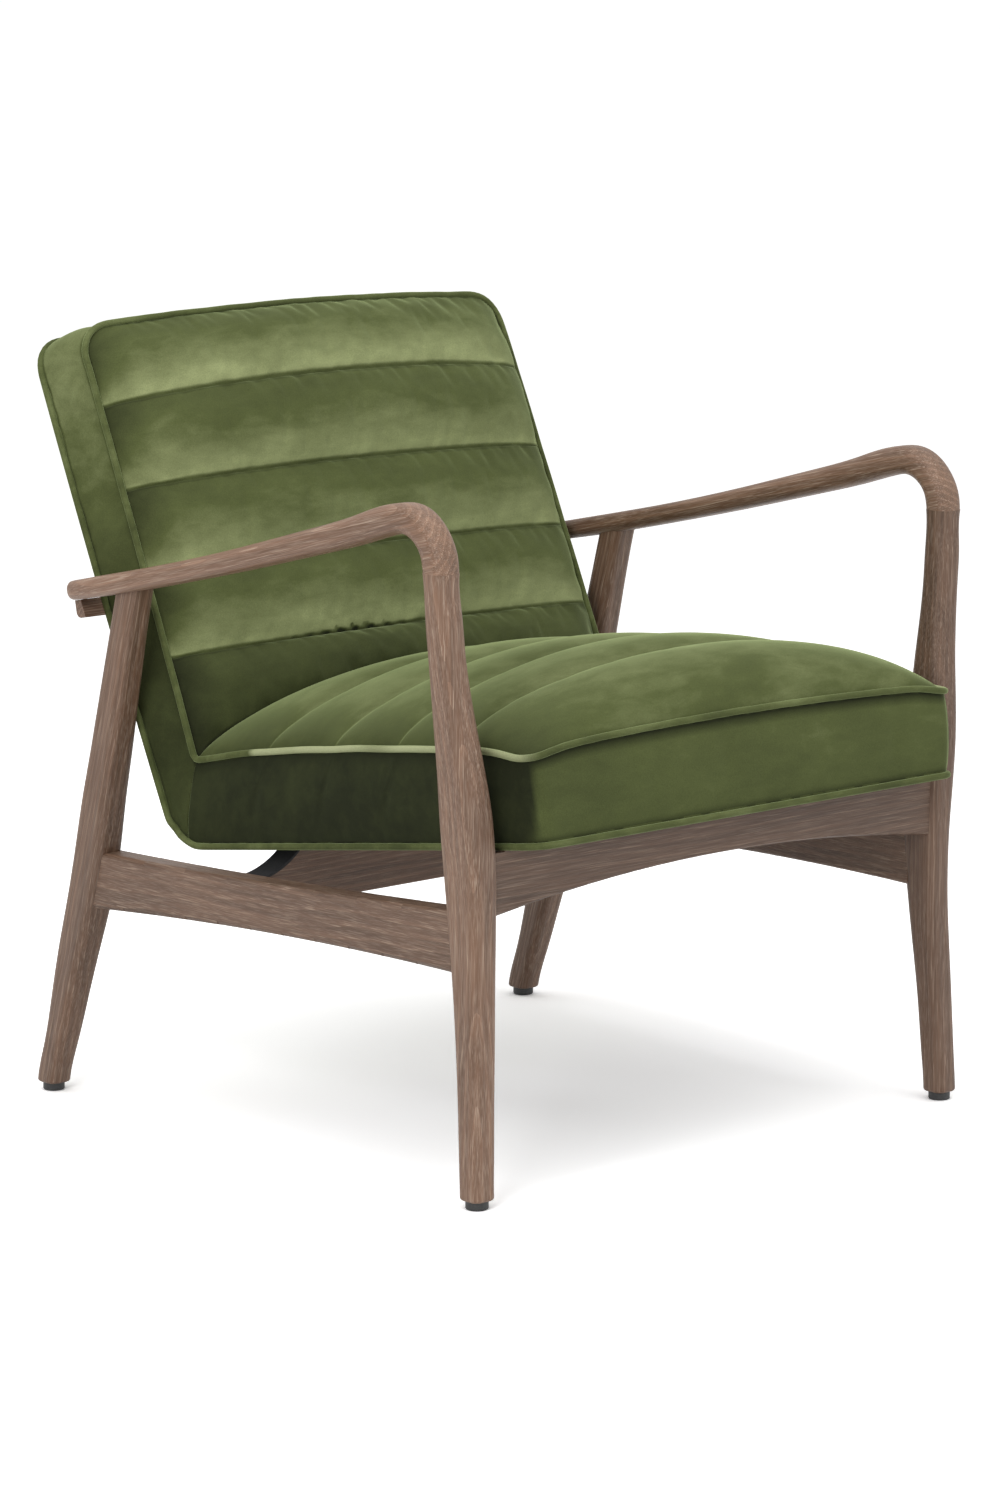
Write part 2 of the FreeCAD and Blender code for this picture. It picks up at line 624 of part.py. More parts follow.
def dome(share):
    """Rise of the filling across the width: 1 in the middle, 0 at the sides."""
    return sqrt(max(1.0 - share ** 2, 0.0))


def lower_corner():
    """The seat unit's lower rear corner before rounding, in the seat's own frame."""
    low = back_to_seat(0.0, -BACK_THICKNESS_LOW)
    high = back_to_seat(BACK_LENGTH, -BACK_THICKNESS_TOP)
    share = (low[1] + SEAT_HEIGHT) / (low[1] - high[1])
    return low[0] + (high[0] - low[0]) * share, -SEAT_HEIGHT


def corner_round():
    """Tangent points and middle of the rounded lower rear corner, in the seat's own frame."""
    corner = Vector(*lower_corner(), 0.0)
    high = Vector(*back_to_seat(BACK_LENGTH, -BACK_THICKNESS_TOP), 0.0)
    to_front = Vector(-1, 0, 0)
    to_top = (high - corner).normalize()
    half_angle = acos(to_front.dot(to_top)) / 2.0
    reach = LOWER_CORNER_RADIUS / tan(half_angle)
    inward = (to_front + to_top).normalize()
    middle = corner + inward * (LOWER_CORNER_RADIUS * (1.0 / sin(half_angle) - 1.0))
    return corner + to_front * reach, middle, corner + to_top * reach


def arc_point(centre, start, end):
    """Middle of the minor arc about centre between two of its points."""
    radius = (start - centre).Length
    return centre + ((start - centre) + (end - centre)).normalize() * radius


def corner_centre():
    first, middle, last = corner_round()
    return Vector(first.x, first.y + LOWER_CORNER_RADIUS, 0.0)


def crease(share):
    """Where the seat's top meets the back's front, in the seat's own frame."""
    return Vector(SEAT_LENGTH - SEAT_CREASE_FORWARD * dome(share), SEAT_CREASE_RISE * dome(share), 0.0)


def seat_section(x, half, skin, open_low):
    share = x / half
    rise = dome(share)
    inset = half - abs(x)
    top = -skin
    front = skin + round_over(inset, SEAT_CORNER_RADIUS)

    def at(back, up):
        return seat_point(x, back, up)

    def side_bow(back):
        along = back / SEAT_LENGTH
        return SEAT_SIDE_BOW * 4.0 * along * (1.0 - along)

    ridge = [at(front, top + SEAT_FRONT_BOW * (1.0 - share ** 2))]
    for back, lift in SEAT_SEAMS:
        ridge.append(at(back, top + side_bow(back) + lift * rise))
    meet = crease(share)
    away = SEWN_GAP + skin * (0.0 if open_low else 1.0)
    shift = -open_low if open_low else away
    ridge.append(at(meet.x - shift - skin * 0.5, meet.y + top))
    edges = []
    upward = at(0.0, 1.0) - at(0.0, 0.0)
    for index in range(len(ridge) - 1):
        swell = EDGE_SWELL + CHANNEL_SWELL * rise
        normal = upward
        if index == 0:
            swell = EDGE_SWELL + SEAT_ROLL * rise
            chord = (ridge[1] - ridge[0]).normalize()
            normal = Vector(1, 0, 0).cross(chord)
        edges.append(bowed(ridge[index], ridge[index + 1], normal * swell))
    first, middle, last = corner_round()
    centre = corner_centre()
    low = -SEAT_HEIGHT - open_low
    middle_point = at(middle.x - shift, middle.y - open_low)
    first_point = at(first.x - shift, low)
    between = arc_point(centre, first, middle)
    between_point = at(between.x - shift, between.y - open_low)
    edges.append(line(ridge[-1], middle_point))
    edges.append(arc(middle_point, between_point, first_point))
    edges.append(line(first_point, at(front, low)))
    swell = -(at(1.0, 0.0) - at(0.0, 0.0)) * (EDGE_SWELL + (SEAT_FRONT_SWELL - EDGE_SWELL) * rise)
    edges.append(bowed(at(front, low), ridge[0], swell))
    return Part.Wire(edges)


def rear_forward(up):
    """Where the back's flat rear face lies, at a height along the back."""
    return -BACK_THICKNESS_LOW - (BACK_THICKNESS_TOP - BACK_THICKNESS_LOW) * up / BACK_LENGTH


def edge_forward(up):
    """Where the side edge of the back's face lies; it leans back a little more than the middle does."""
    return -BACK_EDGE_SET_BACK * up / BACK_LENGTH


def back_section(x, half, skin, open_low):
    share = x / half
    rise = dome(share)
    inset = half - abs(x)
    drop = round_over(inset, BACK_CORNER_RADIUS)
    front = -skin

    def at(up, forward):
        point = back_point(0.0, up, forward)
        point.x = x * (1.0 - BACK_FLARE * (forward - edge_forward(up)) / BACK_HALF_WIDTH)
        return point

    first, middle, last = corner_round()
    between = arc_point(corner_centre(), middle, last)
    shift = -open_low if open_low else SEWN_GAP + skin
    low_middle = Vector(*seat_to_back(middle.x + shift, middle.y), 0.0)
    low_between = Vector(*seat_to_back(between.x + shift, between.y), 0.0)
    low_last = Vector(*seat_to_back(last.x, last.y), 0.0)
    meet = crease(share)
    meet_up, meet_forward = seat_to_back(meet.x + shift, meet.y)
    ridge = [Vector(meet_up, meet_forward + front, 0.0)]
    for up, bow, bulge in BACK_SEAMS:
        ridge.append(Vector(up + bow * (1.0 - share ** 2), front + edge_forward(up) * (1.0 - rise) + bulge * rise, 0.0))
    top_up = BACK_LENGTH + BACK_TOP_BOW * (1.0 - share ** 2) - drop - skin
    top_forward = edge_forward(BACK_LENGTH) * share ** 2 + BACK_TOP_BULGE * (1.0 - share ** 2)
    ridge.append(Vector(top_up, front + top_forward, 0.0))
    ridge = [at(point.x, point.y) for point in ridge]
    rear_open = open_low
    edges = [arc(at(low_middle.x, low_middle.y), at(low_between.x, low_between.y - rear_open * 0.7),
                 at(low_last.x, low_last.y - rear_open))]
    rear_up = top_up - BACK_TOP_FALL
    rear_top = at(rear_up, rear_forward(rear_up) - rear_open)
    edges.append(line(at(low_last.x, low_last.y - rear_open), rear_top))
    edges.append(bowed(rear_top, ridge[-1], (at(1.0, 0.0) - at(0.0, 0.0)) * (EDGE_SWELL + BACK_TOP_CROWN * rise)))
    forward = at(0.0, 1.0) - at(0.0, 0.0)
    for index in range(len(ridge) - 1, 0, -1):
        swell = EDGE_SWELL + CHANNEL_SWELL * rise
        edges.append(bowed(ridge[index], ridge[index - 1], forward * swell))
    edges.append(line(ridge[0], at(low_middle.x, low_middle.y)))
    return Part.Wire(edges)


def cushion(section, half, skin, open_low):
    """Loft one cushion from side to side; skin draws every wall in, open_low runs out past the hidden sides."""
    inner_half = half - skin
    places = [-(inner_half - step) for step in EDGE_STEPS]
    places.append(0.0)
    places += [inner_half - step for step in reversed(EDGE_STEPS)]
    return loft([section(x, inner_half, skin, open_low) for x in places])


def seat_form(skin, open_low):
    return cushion(seat_section, SEAT_HALF_WIDTH, skin, open_low)


def back_form(skin, open_low):
    return cushion(back_section, BACK_HALF_WIDTH, skin, open_low)


def under_slab(depth):
    """The space below the seat unit's underside, raised by depth."""
    return seat_box(LARGE / 2.0, -LARGE / 2.0, LARGE / 2.0, -LARGE / 2.0, -SEAT_HEIGHT + depth)


def rear_slab(depth):
    """The space behind the back's rear face, moved forward by depth."""
    reach = LARGE / 2.0
    corners = [back_point(-reach, -reach, rear_forward(-reach) + depth),
               back_point(-reach, reach, rear_forward(reach) + depth),
               back_point(-reach, reach, -reach),
               back_point(-reach, -reach, -reach)]
    return prism(corners, Vector(2.0 * reach, 0, 0))


# Piping: one cord along the welted edges, as straight runs joined by tangent arcs
def rounded_path(points, radii, gap):
    """Edges along a closed route that starts and ends half a gap from its first point."""
    count = len(points)
    starts = []
    for index in range(1, count):
        here = points[index]
        before = (points[index - 1] - here).normalize()
        after = (points[(index + 1) % count] - here).normalize()
        half_angle = acos(max(-1.0, min(1.0, before.dot(after)))) / 2.0
        reach = radii[index] / tan(half_angle)
        inward = (before + after).normalize()
        middle = here + inward * (radii[index] * (1.0 / sin(half_angle) - 1.0))
        starts.append((here + before * reach, middle, here + after * reach))
    toward = (points[1] - points[0]).normalize()
    backward = (points[-1] - points[0]).normalize()
    at = points[0] + toward * (gap / 2.0)
    edges = []
    for start, middle, end in starts:
        edges.append(line(at, start))
        edges.append(arc(start, middle, end))
        at = end
    edges.append(line(at, points[0] + backward * (gap / 2.0)))
    return edges


def gentle_radius(before, here, after):
    """The largest tangent arc that a shallow bend has room for."""
    first = here - before
    second = after - here
    turn = first.getAngle(second)
    return 0.45 * min(first.Length, second.Length) / tan(turn / 2.0)


def piping(points, radii):
    """Radii given as None take the largest arc that fits."""
    count = len(points)
    full = list(radii)
    for index in range(1, count):
        if full[index] is None:
            full[index] = gentle_radius(points[index - 1], points[index], points[(index + 1) % count])
    path = Part.Wire(rounded_path(points, full, PIPING_JOIN_GAP))
    start = path.Edges[0].valueAt(path.Edges[0].FirstParameter)
    tangent = path.Edges[0].tangentAt(path.Edges[0].FirstParameter)
    profile = Part.Wire([Part.makeCircle(PIPING_RADIUS, start, tangent)])
    return solid_of(path.makePipeShell([profile], True, False))


def mirrored_route(half_route):
    """A route from the middle of one edge round the left side to the middle of the opposite edge."""
    points = [point for point, radius in half_route]
    radii = [radius for point, radius in half_route]
    for point, radius in reversed(half_route[1:]):
        points.append(Vector(-point.x, point.y, point.z))
        radii.append(radius)
    return points, radii


def crowned(spacing, share):
    """Height, as a share of the crown, of a control point whose straight runs touch the crowned edge."""
    return 1.0 - share ** 2 + spacing ** 2 / 4.0


def piping_off():
    return PIPING_RADIUS * PIPING_STAND_OFF


def top_piping():
    off = piping_off()
    seat_x = SEAT_HALF_WIDTH + off
    back_x = BACK_HALF_WIDTH + off
    across = (0.2, 0.6)
    route = [(seat_point(0.0, -off, SEAT_FRONT_BOW * crowned(0.4, across[0]) + off), None)]
    for share in across:
        lift = SEAT_FRONT_BOW * crowned(0.4, share)
        route.append((seat_point(seat_x * share, -off, lift + off), None))
    route.append((seat_point(seat_x, -off, off), SEAT_CORNER_RADIUS + off))
    for share in (-0.5, 0.0, 0.5):
        lift = SEAT_SIDE_BOW * crowned(0.5, share)
        route.append((seat_point(seat_x, SEAT_LENGTH * (1.0 + share) / 2.0, lift + off), None))
    route.append((seat_point((seat_x + back_x) / 2.0, SEAT_LENGTH - off, off), 5.0))
    edge = edge_forward(BACK_LENGTH)
    route.append((back_point(back_x, BACK_LENGTH + off, edge + off), BACK_CORNER_RADIUS + off))
    for share in reversed(across):
        lift = crowned(0.4, share)
        route.append((back_point(back_x * share, BACK_LENGTH + BACK_TOP_BOW * lift + off,
                                 edge + (BACK_TOP_BULGE - edge) * lift + off), None))
    return piping(*mirrored_route(route))


def under_piping():
    off = piping_off()
    seat_x = SEAT_HALF_WIDTH + off
    low_x = BACK_HALF_WIDTH + BACK_FLARE * BACK_THICKNESS_LOW + off
    high_x = BACK_HALF_WIDTH + BACK_FLARE * (BACK_THICKNESS_TOP - BACK_EDGE_SET_BACK) + off
    first = corner_round()[0]
    low = -SEAT_HEIGHT - off
    route = [
        (seat_point(0.0, -off, low), None),
        (seat_point(seat_x, -off, low), SEAT_CORNER_RADIUS + off),
        (seat_point(seat_x, first.x - PIPING_STEP_START, low), None),
        (seat_point(low_x, first.x - PIPING_STEP_END, low), None),
        (seat_point(low_x, lower_corner()[0] + off, low), LOWER_CORNER_RADIUS),
    ]
    up = BACK_LENGTH - BACK_TOP_FALL + off
    forward = -BACK_THICKNESS_TOP - off
    route.append((back_point(high_x, up, forward), BACK_CORNER_RADIUS + off))
    for share in (0.6, 0.2):
        lift = crowned(0.4, share)
        route.append((back_point(high_x * share, up + BACK_TOP_BOW * lift, forward), None))
    return piping(*mirrored_route(route))


# Carcass
def ply_outer_x():
    return SEAT_HALF_WIDTH - COVER_THICKNESS - SIDE_PADDING


def ply_inner_x():
    return ply_outer_x() - PLY_THICKNESS


def seat_low():
    return -SEAT_HEIGHT + CARCASS_CLEARANCE


def carcass_inner_corner():
    """Where the top of the seat part meets the front of the back part, in the seat's own frame."""
    low = back_to_seat(0.0, -CARCASS_BACK_DROP)
    high = back_to_seat(BACK_LENGTH, -CARCASS_BACK_DROP)
    share = (-CARCASS_TOP_DROP - low[1]) / (high[1] - low[1])
    return low[0] + (high[0] - low[0]) * share


def ply_side(side):
    """An L-shaped plywood side: along the seat, then up the back."""
    x = side * ply_inner_x()
    low = lower_corner()
    cut = CARCASS_CORNER_RADIUS
    toward_top = seat_to_back(low[0], low[1])[0] + cut
    corners = [
        seat_point(x, SIDE_PADDING, seat_low()),
        seat_point(x, low[0] - cut, seat_low()),
        back_point(x, toward_top, rear_forward(toward_top) + CARCASS_CLEARANCE),
        back_point(x, CARCASS_TOP_LENGTH, rear_forward(CARCASS_TOP_LENGTH) + CARCASS_CLEARANCE),
        back_point(x, CARCASS_TOP_LENGTH, -CARCASS_BACK_DROP),
        seat_point(x, carcass_inner_corner(), -CARCASS_TOP_DROP),
        seat_point(x, SIDE_PADDING, -CARCASS_TOP_DROP),
    ]
    return prism(corners, Vector(side * PLY_THICKNESS, 0, 0))


def seat_front_board():
    return seat_box(ply_inner_x(), SIDE_PADDING, SIDE_PADDING + PLY_THICKNESS, seat_low(), -CARCASS_TOP_DROP)


def seat_rear_board_back():
    return carcass_inner_corner() - REAR_BOARD_BACK_OFF


def seat_rear_board():
    back = seat_rear_board_back()
    return seat_box(ply_inner_x(), back, back + PLY_THICKNESS, seat_low(), -CARCASS_TOP_DROP)


def batten(rail_face_y, rail_thickness):
    """A flat batten across the seat unit's floor, over a rail whose front face is at rail_face_y."""
    tilt = radians(SEAT_TILT)
    back = (rail_face_y - SEAT_EDGE_Y + SEAT_HEIGHT * sin(tilt)) / cos(tilt)
    return seat_box(ply_inner_x(), back, back + rail_thickness / cos(tilt), seat_low(),
                    seat_low() + BATTEN_HEIGHT)


def back_top_board():
    half = ply_inner_x()
    return back_box(-half, half, CARCASS_TOP_LENGTH - PLY_THICKNESS, CARCASS_TOP_LENGTH,
                    rear_forward(CARCASS_TOP_LENGTH) + CARCASS_CLEARANCE, -CARCASS_BACK_DROP)


def crossbar_up():
    """Height along the back of the crossbar's front face."""
    front_top, front_low = crossbar_corners()[:2]
    middle = (front_top + front_low) * 0.5
    corner = seat_point(0.0, SEAT_LENGTH, 0.0)
    recline = radians(BACK_RECLINE)
    return (middle.y - corner.y) * sin(recline) + (middle.z - corner.z) * cos(recline)


def back_mid_board():
    half = ply_inner_x()
    centre = crossbar_up()
    low = centre - BACK_MID_HEIGHT / 2.0
    high = centre + BACK_MID_HEIGHT / 2.0
    rear = rear_forward(low) + CARCASS_CLEARANCE
    return back_box(-half, half, low, high, rear, rear + PLY_THICKNESS)


# Upholstery
def seat_foam(shape):
    carcass_space = seat_box(ply_outer_x() + FOAM_CLEARANCE, SIDE_PADDING - FOAM_CLEARANCE, LARGE,
                             -LARGE / 2.0, -CARCASS_TOP_DROP + clip_height() + FOAM_CLEARANCE)
    return cut_all(shape, [carcass_space, under_slab(UNDER_CLOTH + FOAM_CLEARANCE)])


def back_foam(shape):
    half = ply_outer_x() + FOAM_CLEARANCE
    front = -CARCASS_BACK_DROP + WEBBING_THICKNESS + FOAM_CLEARANCE
    carcass_space = back_box(-half, half, -LARGE / 2.0, CARCASS_TOP_LENGTH + FOAM_CLEARANCE,
                             -LARGE / 2.0, front)
    return cut_all(shape, [carcass_space, rear_slab(COVER_THICKNESS + FOAM_CLEARANCE)])


def spring(x):
    """A zigzag spring of half-round loops, from the front board to the rear board."""
    up = -CARCASS_TOP_DROP + SPRING_WIRE / 2.0 + CLIP_THICKNESS
    start = SIDE_PADDING + PLY_THICKNESS / 2.0
    end = seat_rear_board_back() + PLY_THICKNESS / 2.0
    loops = int((end - start - CLIP_LENGTH) / (2.0 * SPRING_LOOP_RADIUS)) - 1
    run = (end - start - loops * 2.0 * SPRING_LOOP_RADIUS) / 2.0
    at = seat_point(x, start, up)
    edges = []
    back = start + run
    straight = SPRING_LOOP_REACH
    edges.append(line(at, seat_point(x, back - SPRING_LOOP_RADIUS, up)))
    side = 1
    bend = SPRING_LOOP_RADIUS * (1.0 - sqrt(0.5))
    corner = seat_point(x + side * SPRING_LOOP_RADIUS, back, up)
    edges.append(arc(edges[-1].Vertexes[1].Point, seat_point(x + side * bend, back - bend, up), corner))
    at = corner
    for index in range(loops):
        reach = seat_point(x + side * straight, back, up)
        edges.append(line(at, reach))
        turn_end = seat_point(x + side * straight, back + 2.0 * SPRING_LOOP_RADIUS, up)
        turn_middle = seat_point(x + side * (straight + SPRING_LOOP_RADIUS), back + SPRING_LOOP_RADIUS, up)
        edges.append(arc(reach, turn_middle, turn_end))
        back += 2.0 * SPRING_LOOP_RADIUS
        side = -side
        at = turn_end
    exit_corner = seat_point(x - side * SPRING_LOOP_RADIUS, back, up)
    edges.append(line(at, exit_corner))
    leave = seat_point(x, back + SPRING_LOOP_RADIUS, up)
    edges.append(arc(exit_corner, seat_point(x - side * bend, back + bend, up), leave))
    edges.append(line(leave, seat_point(x, end, up)))
    path = Part.Wire(edges)
    tangent = seat_point(0, 1, 0) - seat_point(0, 0, 0)
    profile = Part.Wire([Part.makeCircle(SPRING_WIRE / 2.0, edges[0].Vertexes[0].Point, tangent)])
    return solid_of(path.makePipeShell([profile], True, False))


def spring_places():
    middle = (SPRING_COUNT - 1) / 2.0
    pitch = (ply_inner_x() - SPRING_SIDE_ROOM) / middle
    return [(index - middle) * pitch for index in range(SPRING_COUNT)]


def clip_height():
    return SPRING_WIRE + 2.0 * CLIP_THICKNESS


def clip(x, back):
    """A folded plate that holds one spring end down on its board."""
    low = -CARCASS_TOP_DROP
    outer = seat_box(CLIP_WIDTH / 2.0, back - CLIP_LENGTH / 2.0, back + CLIP_LENGTH / 2.0, low,
                     low + clip_height())
    inner = seat_box(SPRING_WIRE / 2.0, back - CLIP_LENGTH, back + CLIP_LENGTH, low + CLIP_THICKNESS,
                     low + CLIP_THICKNESS + SPRING_WIRE)
    folded = outer.cut(inner)
    folded.translate(Vector(x, 0, 0))
    return solid_of(folded)


def spring_clips():
    ends = (SIDE_PADDING + PLY_THICKNESS / 2.0, seat_rear_board_back() + PLY_THICKNESS / 2.0)
    return [clip(x, back) for x in spring_places() for back in ends]


def back_webbing():
    half = ply_outer_x()
    straps = []
    for index in range(WEBBING_COUNT):
        low = WEBBING_FIRST + index * WEBBING_PITCH - WEBBING_WIDTH / 2.0
        straps.append(back_box(-half, half, low, low + WEBBING_WIDTH,
                               -CARCASS_BACK_DROP, -CARCASS_BACK_DROP + WEBBING_THICKNESS))
    return straps


# Fixings
def elbow_dowels(side):
    half = ELBOW_DOWEL_SPACING / 2.0
    return [dowel(Vector(side * ELBOW_JOINT_X, ELBOW_JOINT_Y + offset, ELBOW_JOINT_Z), Vector(0, 0, 1),
                  SMALL_DOWEL_DIAMETER, DOWEL_LENGTH) for offset in (-half, half)]


def rear_dowels(side):
    share = (REAR_TOP_Y - elbow_point(1.0)[0]) / (ARM_REAR_Y - elbow_point(1.0)[0])
    y, z, along = arm_point(share)
    upward = Vector(1, 0, 0).cross(along)
    under = Vector(side * REAR_TOP_X, y, z) - upward * (ARM_REAR_THICKNESS / 2.0 + 1.5)
    half = REAR_DOWEL_SPACING / 2.0
    return [dowel(under + along * offset, upward, SMALL_DOWEL_DIAMETER, REAR_DOWEL_LENGTH)
            for offset in (-half, half)]


def rail_dowels(side):
    dowels = []
    half = RAIL_DOWEL_SPACING / 2.0
    front_z = (SIDE_RAIL_TOP_FRONT_Z + SIDE_RAIL_BOTTOM_FRONT_Z) / 2.0
    rear_z = (SIDE_RAIL_TOP_REAR_Z + SIDE_RAIL_BOTTOM_REAR_Z) / 2.0
    for offset in (-half, half):
        dowels.append(dowel(Vector(side * (SIDE_RAIL_FRONT_X + 0.6), ELBOW_JOINT_Y + 8.0, front_z + offset),
                            Vector(0, 1, 0), DOWEL_DIAMETER, DOWEL_LENGTH))
        dowels.append(dowel(Vector(side * (SIDE_RAIL_REAR_X - 0.6), REAR_FOOT_Y - 92.0 - offset * 0.3,
                                   rear_z + offset),
                            Vector(0, 1, 0), DOWEL_DIAMETER, DOWEL_LENGTH))
    return dowels


def front_rail_dowels(side):
    half = RAIL_DOWEL_SPACING / 2.0
    middle = Vector(side * (FRONT_FOOT_X - 23.0), FRONT_RAIL_FACE_Y + FRONT_RAIL_THICKNESS / 2.0,
                    FRONT_RAIL_END_Z + 31.0)
    return [dowel(middle + Vector(0, 0, offset), Vector(1, 0, 0), SMALL_DOWEL_DIAMETER, DOWEL_LENGTH - 8.0)
            for offset in (-half, half)]


def cross_rail_dowels(side):
    half = CROSS_DOWEL_SPACING / 2.0
    middle = Vector(side * cross_rail_half_length(), CROSS_RAIL_FACE_Y + CROSS_RAIL_THICKNESS / 2.0,
                    CROSS_RAIL_BOTTOM_Z + 13.0)
    return [dowel(middle + Vector(0, offset, 0), Vector(1, 0, 0), SMALL_DOWEL_DIAMETER, REAR_DOWEL_LENGTH)
            for offset in (-half, half)]


def arm_screws(side):
    front_low, rear_low, rear_top, along, upward = crossbar_corners()[1:]
    low = (front_low + rear_low) * 0.5
    return [screw(low + Vector(side * ARM_SCREW_X, 0, 0), upward, ARM_SCREW_LENGTH)]


def back_screws():
    rear_low, rear_top, along = crossbar_corners()[2:5]
    rear = rear_low + (rear_top - rear_low) * BACK_SCREW_HEIGHT
    return [screw(rear + Vector(x, 0, 0), along * -1.0, BACK_SCREW_LENGTH)
            for x in (-BACK_SCREW_X, 0.0, BACK_SCREW_X)]


def height_to_seat(place, normal):
    """Distance from a place under the seat up to the seat's underside, square to it."""
    return (seat_point(0, 0, -SEAT_HEIGHT) - place).dot(normal)


def seat_screws():
    screws = []
    normal = seat_point(0, 0, 1) - seat_point(0, 0, 0)
    for side in (LEFT, RIGHT):
        x = side * FRONT_SCREW_X
        share = x / FRONT_FOOT_X
        z = FRONT_RAIL_END_Z + FRONT_RAIL_ARCH * (1.0 - share ** 2)
        front = Vector(x, FRONT_RAIL_FACE_Y + FRONT_RAIL_THICKNESS / 2.0 - 6.0, z)
        screws.append(screw(front, normal, height_to_seat(front, normal) + SEAT_SCREW_BITE))
        cross = Vector(side * CROSS_SCREW_X, CROSS_RAIL_FACE_Y + CROSS_RAIL_THICKNESS / 2.0 - 3.0,
                       CROSS_RAIL_BOTTOM_Z)
        screws.append(screw(cross, normal, height_to_seat(cross, normal) + SEAT_SCREW_BITE))
    return screws


def export(name, solids):
    shape = solids[0] if len(solids) == 1 else Part.makeCompound(solids)
    shape.exportStep("parts/" + name + ".step")
    box = shape.optimalBoundingBox()
    valid = all(solid.isValid() for solid in solids)
    print("%-26s %2d solids, valid %s, X %.1f to %.1f, Y %.1f to %.1f, Z %.1f to %.1f" % (
        name, len(solids), valid, box.XMin, box.XMax, box.YMin, box.YMax, box.ZMin, box.ZMax))


def side_name(side):
    return "left" if side == LEFT else "right"


def main():
    os.makedirs("parts", exist_ok=True)
    both = (LEFT, RIGHT)
    foot_glides = glides()
    arms = {side: arm(side) for side in both}
    fronts = {side: front_leg(side) for side in both}
    rears = {side: rear_leg(side, arms[side]) for side in both}
    rails = {side: side_rail(side, [fronts[side], rears[side]]) for side in both}
    front = front_rail([fronts[LEFT], fronts[RIGHT]])
    cross = seat_cross_rail()
    crossbar = back_crossbar([arms[LEFT], arms[RIGHT]])

    dowels = {
        "elbow_dowels": [pin for side in both for pin in elbow_dowels(side)],
        "rear_leg_dowels": [pin for side in both for pin in rear_dowels(side)],
        "side_rail_dowels": [pin for side in both for pin in rail_dowels(side)],
        "front_rail_dowels": [pin for side in both for pin in front_rail_dowels(side)],
        "cross_rail_dowels": [pin for side in both for pin in cross_rail_dowels(side)],
    }
    arm_fixings = [pin for side in both for pin in arm_screws(side)]
    back_fixings = back_screws()
    seat_fixings = seat_screws()

    for side in both:
        arms[side] = cut_all(arms[side], dowels["elbow_dowels"] + dowels["rear_leg_dowels"] + arm_fixings)
        fronts[side] = cut_all(fronts[side], dowels["elbow_dowels"] + dowels["side_rail_dowels"]
                               + dowels["front_rail_dowels"] + foot_glides)
        rears[side] = cut_all(rears[side], dowels["rear_leg_dowels"] + dowels["side_rail_dowels"] + foot_glides)
        rails[side] = cut_all(rails[side], dowels["side_rail_dowels"] + dowels["cross_rail_dowels"])
    front = cut_all(front, dowels["front_rail_dowels"] + seat_fixings)
    cross = cut_all(cross, dowels["cross_rail_dowels"] + seat_fixings)
    crossbar = cut_all(crossbar, arm_fixings + back_fixings)

    for side in both:
        export("front_leg_" + side_name(side), [fronts[side]])
        export("rear_leg_" + side_name(side), [rears[side]])
        export("armrest_" + side_name(side), [arms[side]])
        export("side_rail_" + side_name(side), [rails[side]])
    export("front_rail", [front])
    export("seat_cross_rail", [cross])
    export("cross_rail_edge_strips", cross_rail_edge_strips())
    export("back_crossbar", [crossbar])
    export("foot_glides", foot_glides)
    for name, pins in dowels.items():
        export(name, pins)
    export("crossbar_screws", arm_fixings)
    export("back_fixing_screws", back_fixings)
    export("seat_fixing_screws", seat_fixings)

    export("seat_frame_front_board", [seat_front_board()])
    export("seat_frame_front_batten", [cut_all(batten(FRONT_RAIL_FACE_Y, FRONT_RAIL_THICKNESS), seat_fixings)])
    export("seat_frame_mid_batten", [cut_all(batten(CROSS_RAIL_FACE_Y, CROSS_RAIL_THICKNESS), seat_fixings)])
    export("seat_frame_rear_board", [seat_rear_board()])
    export("back_frame_top_board", [back_top_board()])
    export("back_frame_mid_board", [cut_all(back_mid_board(), back_fixings)])
    for side in both:
        export("seat_unit_side_" + side_name(side), [ply_side(side)])
    export("seat_springs", [spring(x) for x in spring_places()])
    export("spring_clips", spring_clips())
    export("back_webbing", back_webbing())

    seat_outer = seat_form(0.0, 0.0)
    back_outer = back_form(0.0, 0.0)
    export("dust_cover", [cut_all(seat_outer.common(under_slab(UNDER_CLOTH)), seat_fixings)])
    export("back_outer_panel", [cut_all(back_outer.common(rear_slab(COVER_THICKNESS)), back_fixings)])
    seat_hollow = seat_form(COVER_THICKNESS, 3.0)
    back_hollow = back_form(COVER_THICKNESS, 3.0)
    export("seat_cover", [cut_all(seat_outer, [seat_hollow, under_slab(UNDER_CLOTH)])])
    export("back_cover", [cut_all(back_outer, [back_hollow, rear_slab(COVER_THICKNESS)])])
    filling = COVER_THICKNESS + FOAM_CLEARANCE
    export("seat_foam", [seat_foam(seat_form(filling, 0.0))])
    export("back_foam", [back_foam(back_form(filling, 0.0))])
    export("top_piping", [top_piping()])
    export("under_piping", [cut_all(under_piping(), [crossbar])])


main()
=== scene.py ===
# %% [markdown]
# # A timber lounge chair with a channel-stitched velvet seat
# The chair arrives as a finished engineering model: every leg, rail and arm is already in place and at its
# real size. This lesson gives it its looks. First the soft parts are rebuilt as padded, stitched forms, then
# every surface gets a finish, and last come the floor, the lights and the camera.

import math

import bmesh
import bpy
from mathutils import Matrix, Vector, noise


